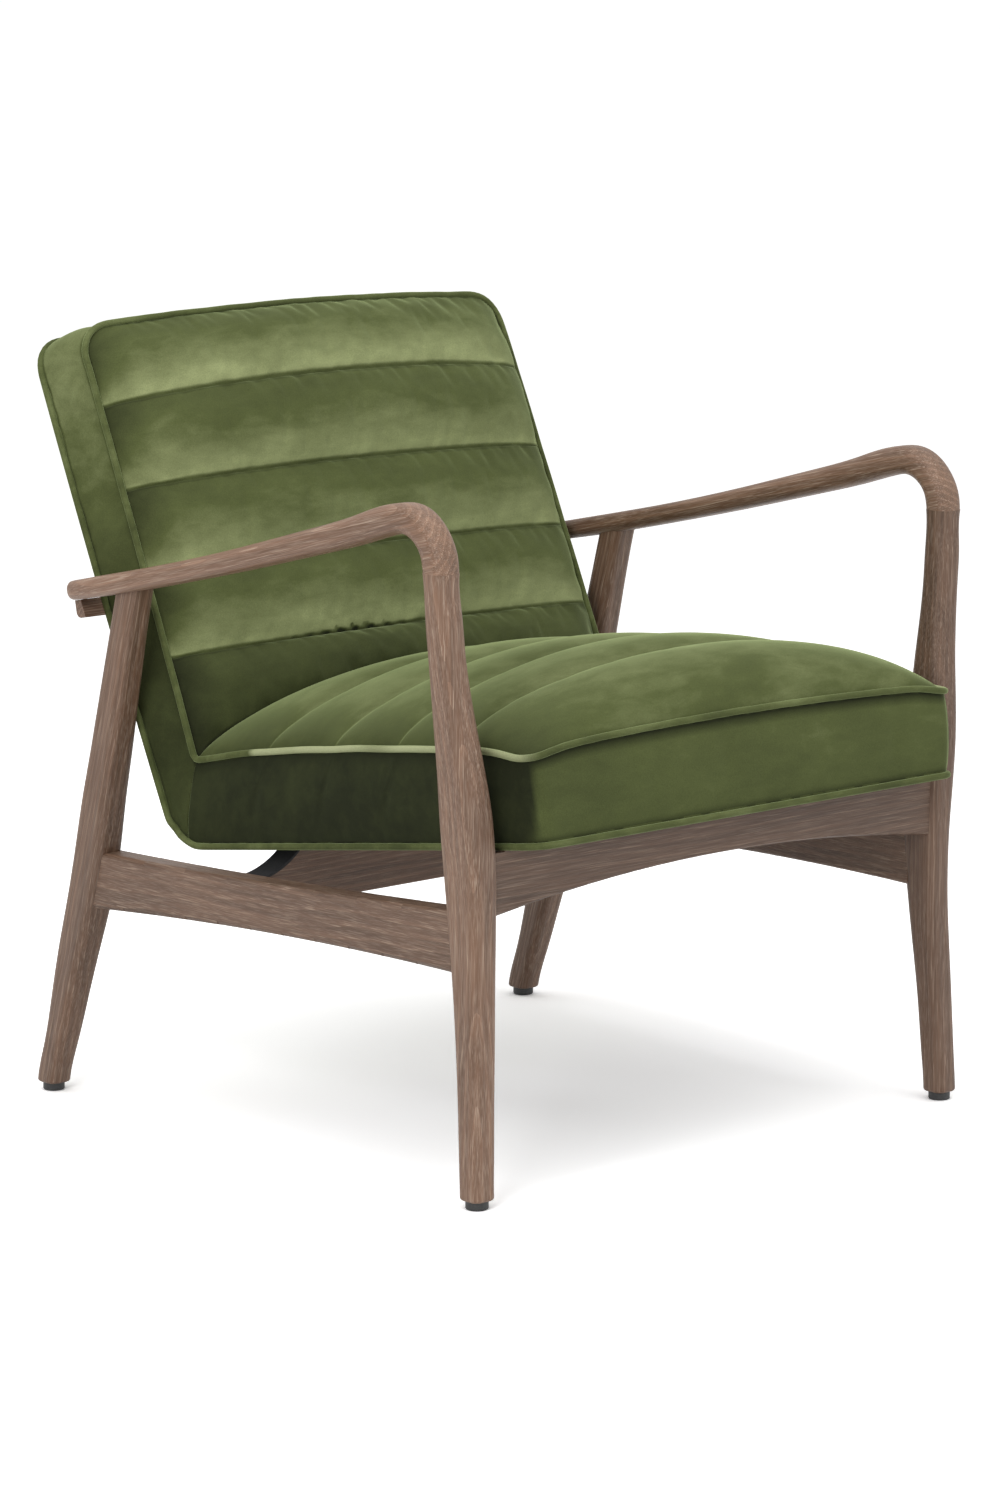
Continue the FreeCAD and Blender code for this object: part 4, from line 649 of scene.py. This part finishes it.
def settle(piece, slack, most):
    """Blows a cover up. slack is how much too large it is cut, and most is how far a point may move."""
    group = piece.vertex_groups.new(name="sewn")
    held = piece.data.attributes["held"].data
    group.add([index for index, reading in enumerate(held) if reading.value > 0.5], 1.0, "REPLACE")
    cloth = piece.modifiers.new("settle", "CLOTH")
    for setting, value in COVER.items():
        setattr(cloth.settings, setting, value)
    cloth.settings.effector_weights.gravity = 0.0
    cloth.settings.vertex_group_mass = group.name
    cloth.settings.shrink_min = -slack
    cloth.point_cache.frame_start = 1
    cloth.point_cache.frame_end = SETTLE_FRAMES
    for number in range(1, SETTLE_FRAMES + 1):
        bpy.context.scene.frame_set(number)
    settled = piece.evaluated_get(bpy.context.evaluated_depsgraph_get()).data
    steps = [after.co - before.co for before, after in zip(piece.data.vertices, settled.vertices)]
    for vertex, step in zip(piece.data.vertices, steps):
        vertex.co = vertex.co + (step * (most / step.length) if step.length > most else step)
    piece.modifiers.remove(cloth)
    bpy.context.scene.frame_set(1)
    moved = sum(min(most, step.length) for step in steps) / len(steps)
    print(piece.name, "settled; points moved", round(1000 * moved, 2), "mm on average")


settle(seat_cushion, slack=0.002, most=0.003)
settle(back_cushion, slack=0.022, most=0.004)

# %% Smooth both cushions once


def pick(piece):
    """Selects one piece alone, because an operator acts on all that is selected."""
    bpy.ops.object.select_all(action="DESELECT")
    piece.select_set(True)
    bpy.context.view_layer.objects.active = piece


for cushion in (seat_cushion, back_cushion):
    smooth = cushion.modifiers.new("smooth", "SUBSURF")
    smooth.levels = smooth.render_levels = 1
    pick(cushion)
    bpy.ops.object.modifier_apply(modifier=smooth.name)
    print(cushion.name, len(cushion.data.polygons), "faces")

# %% [markdown]
# ## The piping
# A thin covered cord is sewn into the edge where the stitched face meets the boxing, and a second one round
# the lower and rear edge. Each follows the cushion's own edge, so the route is read from the points that were
# just modelled and pushed out by most of the cord's radius. A smooth curve with a round section makes it.
# Along the sides of the seat the upper cord gets a painted highlight, where it catches the light.

# %% Make a cord from its route
PIPING_RADIUS = 0.0032


def piping(name, route):
    """A closed cord along a list of points, made as a curve and then turned into a mesh."""
    curve = bpy.data.curves.new(name, "CURVE")
    curve.dimensions = "3D"
    curve.bevel_depth = PIPING_RADIUS
    curve.bevel_resolution = 3
    curve.resolution_u = 2
    spline = curve.splines.new("NURBS")
    spline.points.add(len(route) - 1)
    for point, place in zip(spline.points, route):
        point.co = (*place, 1.0)
    spline.use_cyclic_u = True
    spline.order_u = 4
    cord = bpy.data.objects.new(name, curve)
    bpy.context.scene.collection.objects.link(cord)
    pick(cord)
    bpy.ops.object.convert(target="MESH")
    cord = bpy.context.view_layer.objects.active
    cord.data.shade_smooth()
    length = sum((after - before).length for before, after in zip(route, route[1:] + route[:1]))
    print(name, round(length, 3), "m long,", len(cord.data.polygons), "faces")
    return cord


# %% Follow the edges
PUSH_OUT = 0.60
ROUTE_SPACING = 0.007
SEAT_UP = on_seat(0.0, 0.0, 1.0) - on_seat(0.0, 0.0, 0.0)
BACK_FORWARD = on_back(0.0, 0.0, 1.0) - on_back(0.0, 0.0, 0.0)


def pushed(points, wall_out, face_out):
    """Edge points moved out along the bisector of the walls' outward directions and the face's own."""
    return [point["at"] + (out.normalized() + face_out.normalized()) * (PIPING_RADIUS * PUSH_OUT)
            for point, out in zip(points, wall_out)]


def side_line(grid, side, face_out):
    """The side border of a grid without its ends, from the front or the bottom on. side is 1 on the left."""
    line = [row[-1 if side > 0 else 0] for row in grid[1:-1]]
    return pushed(line, [Vector((side, 0.0, 0.0))] * len(line), face_out)


def thinned(route):
    """Drops points that crowd each other, so the cord runs evenly."""
    kept = [route[0]]
    for place in route[1:]:
        if (place - kept[-1]).length >= ROUTE_SPACING:
            kept.append(place)
    if (kept[0] - kept[-1]).length < ROUTE_SPACING:
        kept.pop()
    return kept


def loop_round(seat_grid, back_grid, seat_out, back_out):
    """One closed route: along the front, up the left side, across the top and down the right side."""
    route = pushed(seat_grid[0], [seat_front_out(share) for share in seat_columns], seat_out)
    route += side_line(seat_grid, 1, seat_out) + side_line(back_grid, 1, back_out)
    route += reversed(pushed(back_grid[-1], [back_top_out(share) for share in back_columns], back_out))
    route += reversed(side_line(seat_grid, -1, seat_out) + side_line(back_grid, -1, back_out))
    return thinned(route)


top_cord = piping("top_piping_cord", loop_round(seat_face, back_face, SEAT_UP, BACK_FORWARD))
under_cord = piping("under_piping_cord", loop_round(seat_under, back_under, -SEAT_UP, -BACK_FORWARD))

# %% Paint a highlight on the upper cord along the sides of the seat
PALE_FROM, PALE_TO = -0.004, 0.385
PALE_STARTS, PALE_ENDS = 0.012, 0.008
PALER_FROM = 0.10
EDGE_NEAR, SIDE_NEAR = 0.020, 0.262


def cord_highlight_at(at):
    """The painted highlight at a point of the upper cord: along the seat's sides only, and in patches."""
    away = at - SEAT_FRONT
    back = away.y * math.cos(SEAT_TILT) - away.z * math.sin(SEAT_TILT)
    up = away.y * math.sin(SEAT_TILT) + away.z * math.cos(SEAT_TILT)
    if abs(up) >= EDGE_NEAR or abs(at.x) <= SIDE_NEAR:
        return 0.0
    share = max(0.0, min(1.0, (back - PALE_FROM) / PALE_STARTS, (PALE_TO - back) / PALE_ENDS))
    patch = 0.82 + 0.5 * noise.noise(Vector((back * 22.0, at.x, 3.0)))
    return share * (0.8 + 0.35 * (back > PALER_FROM)) * max(0.0, min(1.0, patch))


# The painted highlight goes on the upper cord only.
for cord in (top_cord, under_cord):
    pale = cord.data.attributes.new("brushed_pale", "FLOAT", "POINT").data
    for reading, vertex in zip(pale, cord.data.vertices):
        reading.value = cord_highlight_at(vertex.co) if cord is top_cord else 0.0
    print(cord.name, "is brushed pale at", sum(reading.value > 0.5 for reading in pale), "points")

# %% [markdown]
# ## The cloth under the seat
# A thin black cloth is stapled tight across the underside, so nobody sees the springs. It is a flat sheet
# that widens towards the rear as the seat does, with a fine wall of its own.

# %% Stretch the cloth
CLOTH_EDGE = 0.008
CLOTH_WALL = 0.0008
STRIPS = 24
cloth_size = (2.0 * (seat_half_low(LOWER_ROUND_START) - CLOTH_EDGE), LOWER_ROUND_START - 2.0 * CLOTH_EDGE)
points = []
for row in range(STRIPS + 1):
    back = lerp(CLOTH_EDGE, LOWER_ROUND_START - CLOTH_EDGE, row / STRIPS)
    half = seat_half_low(back) - CLOTH_EDGE
    for column in range(STRIPS + 1):
        points.append(on_seat(half * (2.0 * column / STRIPS - 1.0), back, -SEAT_DEPTH + CLOTH_WALL))
faces = []
for row in range(STRIPS):
    for column in range(STRIPS):
        first = row * (STRIPS + 1) + column
        faces.append((first, first + STRIPS + 1, first + STRIPS + 2, first + 1))
sheet = bpy.data.meshes.new("under_seat_cloth")
sheet.from_pydata(points, [], faces)
under_cloth = bpy.data.objects.new("under_seat_cloth", sheet)
bpy.context.scene.collection.objects.link(under_cloth)
wall = under_cloth.modifiers.new("wall", "SOLIDIFY")
wall.thickness = CLOTH_WALL
wall.offset = 1.0
pick(under_cloth)
bpy.ops.object.modifier_apply(modifier=wall.name)

# %% [markdown]
# ## Finishes
# A finish is a small network of nodes. Writing it as sums keeps it readable, so one small class stands for
# "a number at this point of the surface": adding, multiplying or subtracting two of them adds the Math node
# that does it. Anything that isn't plain arithmetic comes from one method that takes the node's type, its
# settings and what its sockets get.

# %% Write sums of readings
class Reading:
    """A value or colour that a finish has worked out for each point of a surface."""

    def __init__(self, recipe, socket):
        self.recipe = recipe
        self.socket = socket

    def sum_of(self, operation, first, second):
        return self.recipe.node("ShaderNodeMath", {"operation": operation}, {0: first, 1: second})

    def __add__(self, other):
        return self.sum_of("ADD", self, other)

    __radd__ = __add__

    def __sub__(self, other):
        return self.sum_of("SUBTRACT", self, other)

    def __rsub__(self, other):
        return self.sum_of("SUBTRACT", other, self)

    def __mul__(self, other):
        return self.sum_of("MULTIPLY", self, other)

    __rmul__ = __mul__

    def __pow__(self, other):
        return self.sum_of("POWER", self, other)


# %% Add a node to a recipe
class Recipe:
    """A tree of nodes, written line by line."""

    def __init__(self, tree):
        self.tree = tree
        tree.nodes.clear()

    def node(self, kind, settings=None, inputs=None, output=0):
        """Adds a node: its settings first, then the values or readings of its sockets."""
        made = self.tree.nodes.new(kind)
        for key, value in (settings or {}).items():
            if key == "stops":
                ramp = made.color_ramp
                while len(ramp.elements) < len(value):
                    ramp.elements.new(0.5)
                for element, (place, colour) in zip(ramp.elements, value):
                    element.position = place
                    element.color = (*colour, 1.0)
            else:
                setattr(made, key, value)
        for key, value in (inputs or {}).items():
            if isinstance(value, Reading):
                self.tree.links.new(value.socket, made.inputs[key])
            elif made.inputs[key].type == "RGBA" and len(value) == 3:
                made.inputs[key].default_value = (*value, 1.0)
            else:
                made.inputs[key].default_value = value
        self.last = made
        return Reading(self, made.outputs[output]) if made.outputs else made

    def between(self, value, low, high, to_low=0.0, to_high=1.0):
        return self.node("ShaderNodeMapRange", {"clamp": True}, {"Value": value, "From Min": low, "From Max": high,
                                                                 "To Min": to_low, "To Max": to_high})


# %% Gather what most finishes need
class Finish(Recipe):
    """The recipe of one material, ending in a single surface shader."""

    def __init__(self, name):
        self.material = bpy.data.materials.new(name)
        self.material.use_nodes = True
        super().__init__(self.material.node_tree)

    def place(self, scale=(1, 1, 1), turn=(0, 0, 0), move=(0, 0, 0)):
        here = self.node("ShaderNodeTexCoord", output="Object")
        return self.node("ShaderNodeMapping", None,
                         {"Vector": here, "Location": move, "Rotation": turn, "Scale": scale})

    def scaled(self, at, scale):
        return self.node("ShaderNodeVectorMath", {"operation": "MULTIPLY"}, {0: at, 1: scale})

    def speckle(self, at, scale, detail=2.0, rough=0.5, distortion=0.0):
        return self.node("ShaderNodeTexNoise", None, {"Vector": at, "Scale": scale, "Detail": detail,
                                                      "Roughness": rough, "Distortion": distortion})

    def blend(self, share, first, second):
        """Mixes two colours. Sockets 0, 6 and 7 are the share and the colours, and output 2 is the mixed one."""
        return self.node("ShaderNodeMix", {"data_type": "RGBA"}, {0: share, 6: first, 7: second}, output=2)

    def ramp(self, value, stops):
        return self.node("ShaderNodeValToRGB", {"stops": stops}, {0: value})

    def attribute(self, name):
        return self.node("ShaderNodeAttribute", {"attribute_name": name}, output="Fac")

    def bump(self, height, strength, distance):
        return self.node("ShaderNodeBump", None, {"Strength": strength, "Distance": distance, "Height": height})

    def finish(self, varying, constants):
        surface = self.node("ShaderNodeBsdfPrincipled", None, {**constants, **varying})
        self.node("ShaderNodeOutputMaterial", None, {"Surface": surface})
        print(self.material.name, "has", len(self.tree.nodes), "nodes")
        return self.material


# %% [markdown]
# ### Velvet
# Velvet is a short upright pile. It looks dark where the eye looks straight down into the pile and pale
# where it is seen from the side, and it is mottled where hands have brushed the pile one way or the other.
# The sheen of the surface shader gives the first effect, and soft noise stretched across the rows the second.
# On the stitched pieces one reading paints shade next to a seam and another paints sheen and shade across the
# rows; on the cords a third paints a highlight along the sides of the seat.

# %% Mix the velvet
CLOUDS, BRUSH_MARKS, PILE = 8.0, 26.0, 900.0
# The painted seam shade is full at the first distance and gone at the second.
SEAM_DARK, SEAM_PALE = -0.0015, 0.0035
CORD_HIGHLIGHT_COLOUR = (0.40, 0.43, 0.24)
SHEEN = {"Roughness": 0.85, "Specular IOR Level": 0.15, "Sheen Weight": 0.75, "Sheen Roughness": 0.35,
         "Sheen Tint": (0.62, 0.74, 0.36, 1.0)}


def velvet(name, stitched, dark, mid, light):
    mix = Finish(name)
    cloud = mix.speckle(mix.place(scale=(1.0, 1.8, 1.8)), CLOUDS, 3.0, 0.5, 0.2)
    brushed = mix.speckle(mix.place(scale=(1.0, 2.6, 2.6)), BRUSH_MARKS, 4.0, 0.6, 0.3)
    pile = mix.speckle(mix.place(), PILE, 2.0, 0.6)
    tone = mix.between(cloud, 0.34, 0.68) * 0.6 + mix.between(brushed, 0.36, 0.66) * 0.4
    if stitched:
        # How pale the velvet is painted here: painted sheen and painted shade.
        nap = mix.attribute("nap")
        tone = (tone - 0.5) * (nap * 0.20 + 0.11) + nap
        # Painted shade next to the seams, in the folds and under the piping.
        tone = tone * mix.between(mix.attribute("tuck"), SEAM_DARK, SEAM_PALE)
    colour = mix.ramp(tone, [(0.0, dark), (0.5, mid), (1.0, light)])
    if not stitched:
        # Painted highlight on the upper cord along the seat's sides.
        colour = mix.blend(mix.attribute("brushed_pale"), colour, CORD_HIGHLIGHT_COLOUR)
    grain = mix.between(pile, 0.3, 0.7, 0.86, 1.12)
    colour = mix.node("ShaderNodeVectorMath", {"operation": "SCALE"}, {0: colour, "Scale": grain})
    fuzz = mix.bump(pile * 0.7 + brushed * 0.3, 0.25, 0.0006)
    return mix.finish({"Base Color": colour, "Normal": fuzz}, SHEEN)


velvet_rows = velvet("velvet_rows", True, (0.010, 0.012, 0.004), (0.082, 0.098, 0.032), (0.300, 0.335, 0.155))
velvet_cord = velvet("velvet_cord", False, (0.050, 0.060, 0.020), (0.088, 0.105, 0.036), (0.150, 0.175, 0.070))

# %% [markdown]
# ### Brushed, limed oak
# The frame is an open-grained timber, stained grey-brown, brushed along the grain and rubbed with a pale wax
# that stays in the pores. Growth rings are rings round a far-off pith, so long bands show on faces that run
# along the grain and arches show where a face crosses it. The pores are fine streaks along the grain that
# crowd into the early wood of each ring. Each noise below is given as its marks in a metre, along the grain
# and twice across it.

# %% Mix the timber
DRIFT = (2.2, 9.0, 9.0)
PORES = (22.0, 1000.0, 1000.0)
HAIRS = (40.0, 2100.0, 2100.0)
STAINS = (4.0, 30.0, 30.0)
STREAKS = (5.0, 260.0, 260.0)
PITH_ACROSS, PITH_HIGH = 0.11, 0.05
RINGS, RING_DRIFT = 210.0, 0.030
WOOD = ((0.0, (0.290, 0.170, 0.110)), (0.5, (0.178, 0.098, 0.060)), (1.0, (0.085, 0.045, 0.026)))
WAX = (0.50, 0.385, 0.30)


def timber(name, turn, move, stain_and_painted_light, wax):
    mix = Finish(name)
    here = mix.place(turn=turn, move=move)
    mix.node("ShaderNodeSeparateXYZ", None, {0: here})
    across, high = (Reading(mix, mix.last.outputs[axis]) for axis in "YZ")
    pith = ((across + PITH_ACROSS) ** 2.0 + (high * 0.8 + PITH_HIGH) ** 2.0) ** 0.5
    rings = (pith + mix.speckle(mix.scaled(here, DRIFT), 1.0, 3.0) * RING_DRIFT) * RINGS
    early = mix.between(mix.node("ShaderNodeMath", {"operation": "FRACT"}, {0: rings}), 0.0, 0.45, 1.0, 0.0)
    pore = mix.between(mix.speckle(mix.scaled(here, PORES), 1.0, 2.0, 0.55), 0.52, 0.66) * (early * 0.60 + 0.40)
    hair = mix.between(mix.speckle(mix.scaled(here, HAIRS), 1.0, 1.0), 0.48, 0.66)
    stain = mix.between(mix.speckle(mix.scaled(here, STAINS), 1.0), 0.3, 0.7)
    broad = mix.between(mix.speckle(mix.scaled(here, STREAKS), 1.0), 0.32, 0.68)
    tone = stain * 0.35 + broad * 0.35 + (1.0 - early) * 0.30
    # The stain is scaled per piece, which also paints that piece lighter or darker for how the light falls on it.
    base = mix.ramp(tone, [(place, [stain_and_painted_light * part for part in colour]) for place, colour in WOOD])
    limed = mix.between(pore * 0.85 + hair * 0.28, 0.0, 1.0)
    waxed = mix.blend(limed * (0.80 * wax), base, WAX)
    grooves = mix.bump((1.0 - pore) * 0.6 + (1.0 - hair) * 0.4, 0.35, 0.0007)
    dull = mix.between(pore, 0.0, 1.0, 0.46, 0.66)
    return mix.finish({"Base Color": waxed, "Roughness": dull, "Normal": grooves}, {"Specular IOR Level": 0.35})


# %% Give each timber piece its grain
quarter = math.pi / 2
SIDEWAYS = (0.0, 0.0, 0.0)
UPRIGHT = (0.0, quarter, 0.0)
RAKED = (-0.27, quarter, 0.0)
BACKWARDS = (0.0, 0.0, -quarter)
ALONG_ARM = (0.24, 0.0, -quarter)
# For each piece: how its grain runs, which stretch of wood it shows, how pale its stain is (this also paints
# light and shade on that piece), and how much wax it has.
TIMBER = {
    "front_leg_left": (UPRIGHT, (0.3, 0.02, 0.01), 0.71, 0.60),
    "front_leg_right": (UPRIGHT, (0.7, -0.30, 0.33), 1.06, 1.0),
    "rear_leg_left": (RAKED, (0.1, 0.05, 0.02), 0.86, 0.72),
    "rear_leg_right": (RAKED, (0.9, 0.02, -0.01), 0.86, 0.72),
    "armrest_left": (ALONG_ARM, (0.2, 0.0, 0.03), 1.02, 1.0),
    "armrest_right": (ALONG_ARM, (0.5, 0.012, -0.02), 1.22, 1.0),
    "side_rail_left": (BACKWARDS, (0.4, 0.01, 0.0), 0.79, 0.82),
    "side_rail_right": (BACKWARDS, (0.8, -0.02, 0.015), 0.79, 0.82),
    "front_rail": (SIDEWAYS, (0.15, 0.0, 0.02), 0.58, 0.55),
    "seat_cross_rail": (SIDEWAYS, (0.6, 0.03, 0.0), 0.84, 0.65),
    "back_crossbar": (SIDEWAYS, (0.35, 0.05, 0.04), 1.0, 1.0),
}


def coat(piece, material):
    piece.data.materials.clear()
    piece.data.materials.append(material)


for name, (turn, move, stain_and_painted_light, wax) in TIMBER.items():
    coat(nodes[name], timber("oak_" + name, turn, move, stain_and_painted_light, wax))

# %% [markdown]
# ### Plain finishes for the hidden and the small pieces
# Dowels, plywood, springs, screws, glides and cloths are seldom seen, but each is a real piece and gets the
# finish of its kind.

# %% Mix the plain finishes
GRAIN_HEIGHT = 0.0004


def speckled(name, dark, light, scale, stretch, roughness, metal=0.0):
    mix = Finish(name)
    grain = mix.speckle(mix.place(scale=stretch), scale, 3.0, 0.6)
    colour = mix.blend(mix.between(grain, 0.3, 0.7), dark, light)
    return mix.finish({"Base Color": colour, "Normal": mix.bump(grain, 0.2, GRAIN_HEIGHT)},
                      {"Roughness": roughness, "Metallic": metal})


plain = {
    "dowel": speckled("beech_dowel", (0.42, 0.27, 0.15), (0.60, 0.42, 0.26), 60.0, (1, 1, 6), 0.6),
    "ply": speckled("plywood", (0.40, 0.27, 0.15), (0.58, 0.43, 0.27), 40.0, (1, 6, 1), 0.7),
    "steel": speckled("zinc_steel", (0.34, 0.34, 0.36), (0.55, 0.55, 0.57), 300.0, (1, 1, 8), 0.38, 1.0),
    "black": speckled("black_nylon", (0.012, 0.012, 0.012), (0.03, 0.03, 0.03), 400.0, (1, 1, 1), 0.55),
    "cloth": speckled("black_fibre_cloth", (0.010, 0.010, 0.011), (0.028, 0.028, 0.030), 700.0, (1, 1, 1), 0.9),
    "foam": speckled("foam", (0.62, 0.55, 0.36), (0.80, 0.74, 0.54), 500.0, (1, 1, 1), 0.9),
}

# %% Give each small and hidden piece its finish


def kind_of(name):
    """Which plain finish a piece takes, by its name."""
    if "dowels" in name:
        return "dowel"
    if "screws" in name or name in ("seat_springs", "spring_clips"):
        return "steel"
    if name.startswith(("seat_frame", "back_frame", "seat_unit")):
        return "ply"
    # The cross rail's edge strips are black cloth, a dark strip that stands in for the deep shade in the coves under
    # the seat.
    if name in ("cross_rail_edge_strips", "dust_cover", "back_webbing"):
        return "cloth"
    if name.endswith("foam"):
        return "foam"
    return "black" if name == "foot_glides" else "velvet"


counts = {}
for name, piece in nodes.items():
    if name not in TIMBER:
        kind = kind_of(name)
        coat(piece, plain.get(kind, velvet_rows))
        counts[kind] = counts.get(kind, 0) + 1
print("pieces of each finish:", counts)

# %% Finish the soft pieces and tie them to the chair
SOFT = (
    (seat_cushion, velvet_rows, ("seat_cover", "seat_foam")),
    (back_cushion, velvet_rows, ("back_cover", "back_foam", "back_outer_panel")),
    (top_cord, velvet_cord, ("top_piping",)),
    (under_cord, velvet_cord, ("under_piping",)),
)
for piece, material, stands_for in SOFT:
    coat(piece, material)
    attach(piece, "root")
    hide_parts(*stands_for)
coat(under_cloth, plain["cloth"])
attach(under_cloth, "root")
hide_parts("dust_cover")
print("soft pieces:", [piece.name for piece, material, stands_for in SOFT] + [under_cloth.name])

# %% [markdown]
# ## Floor, light and camera
# The chair stands on a plain pale floor that reads as white to the camera and still takes a soft shadow. Three
# large soft lamps and an even sky light it from above, from one side and from the front. Light Path tells a ray
# that looks from one that lights, so floor and sky are white to the camera, a mirror or a glass, and throw no
# more light on the chair than they should.

# %% Lay the floor
LOOKING = ("Is Camera Ray", "Is Glossy Ray", "Is Transmission Ray")
FLOOR_LIT, FLOOR_SEEN = (0.60, 0.60, 0.60), (1.72, 1.72, 1.72)


def looked_at(recipe):
    """1 for rays that look at a surface, and 0 for those that carry light to it."""
    camera_ray, mirrored, through = (recipe.node("ShaderNodeLightPath", output=kind) for kind in LOOKING)
    return recipe.between(camera_ray + mirrored + through, 0.0, 1.0)


bpy.ops.mesh.primitive_plane_add(size=60.0, location=(0.0, 0.0, 0.0))
floor = bpy.context.view_layer.objects.active
floor.name = "studio_floor"
ground = Finish("studio_white")
white = ground.blend(looked_at(ground), FLOOR_LIT, FLOOR_SEEN)
coat(floor, ground.finish({"Base Color": white}, {"Roughness": 1.0, "Specular IOR Level": 0.0}))

# %% Light the studio
SKY_LIT, SKY_SEEN = 0.60, 1.0
world = bpy.data.worlds.new("studio")
bpy.context.scene.world = world
world.use_nodes = True
sky = Recipe(world.node_tree)
lit, seen = (sky.node("ShaderNodeBackground", None, {0: (1.0, 1.0, 1.0), 1: level}) for level in (SKY_LIT, SKY_SEEN))
sky.node("ShaderNodeOutputWorld", None, {
    "Surface": sky.node("ShaderNodeMixShader", None, {0: looked_at(sky), 1: lit, 2: seen})})


def soft_lamp(name, place, aim, size, power):
    lamp = bpy.data.lights.new(name, "AREA")
    lamp.shape = "RECTANGLE"
    lamp.size, lamp.size_y = size
    lamp.energy = power
    holder = bpy.data.objects.new(name, lamp)
    holder.location = place
    holder.rotation_euler = (Vector(aim) - Vector(place)).to_track_quat("-Z", "Y").to_euler()
    bpy.context.scene.collection.objects.link(holder)
    print(name, "lamp,", power, "W from", round((Vector(aim) - Vector(place)).length, 1), "m")


soft_lamp("overhead", (-0.4, -0.3, 3.2), (0.0, 0.0, 0.3), (2.8, 2.6), 38.0)
soft_lamp("window", (-3.4, -1.6, 2.0), (0.0, 0.0, 0.4), (1.8, 1.8), 52.0)
soft_lamp("front", (0.9, -3.9, 1.3), (0.0, 0.0, 0.35), (2.6, 1.6), 26.0)

# %% Place the camera
CAMERA_AT = Vector((-3.234, -3.56695, 1.199))
CAMERA_AIM = Vector((0.002, 0.00005, 0.338))
FOCAL_PIXELS, PHOTO_HEIGHT, SENSOR = 5095.33, 1500.0, 36.0
lens = bpy.data.cameras.new("studio_camera")
lens.sensor_fit = "VERTICAL"
lens.sensor_height = SENSOR
lens.lens = FOCAL_PIXELS * SENSOR / PHOTO_HEIGHT
lens.clip_end = 200.0
camera = bpy.data.objects.new("studio_camera", lens)
camera.location = CAMERA_AT
camera.rotation_euler = (CAMERA_AIM - CAMERA_AT).to_track_quat("-Z", "Y").to_euler()
bpy.context.scene.collection.objects.link(camera)
bpy.context.scene.camera = camera
bpy.context.scene.view_settings.view_transform = "Standard"
print("camera", round((CAMERA_AIM - CAMERA_AT).length, 2), "m away, lens", round(lens.lens, 1), "mm")

# %% Update the view layer
bpy.context.view_layer.update()
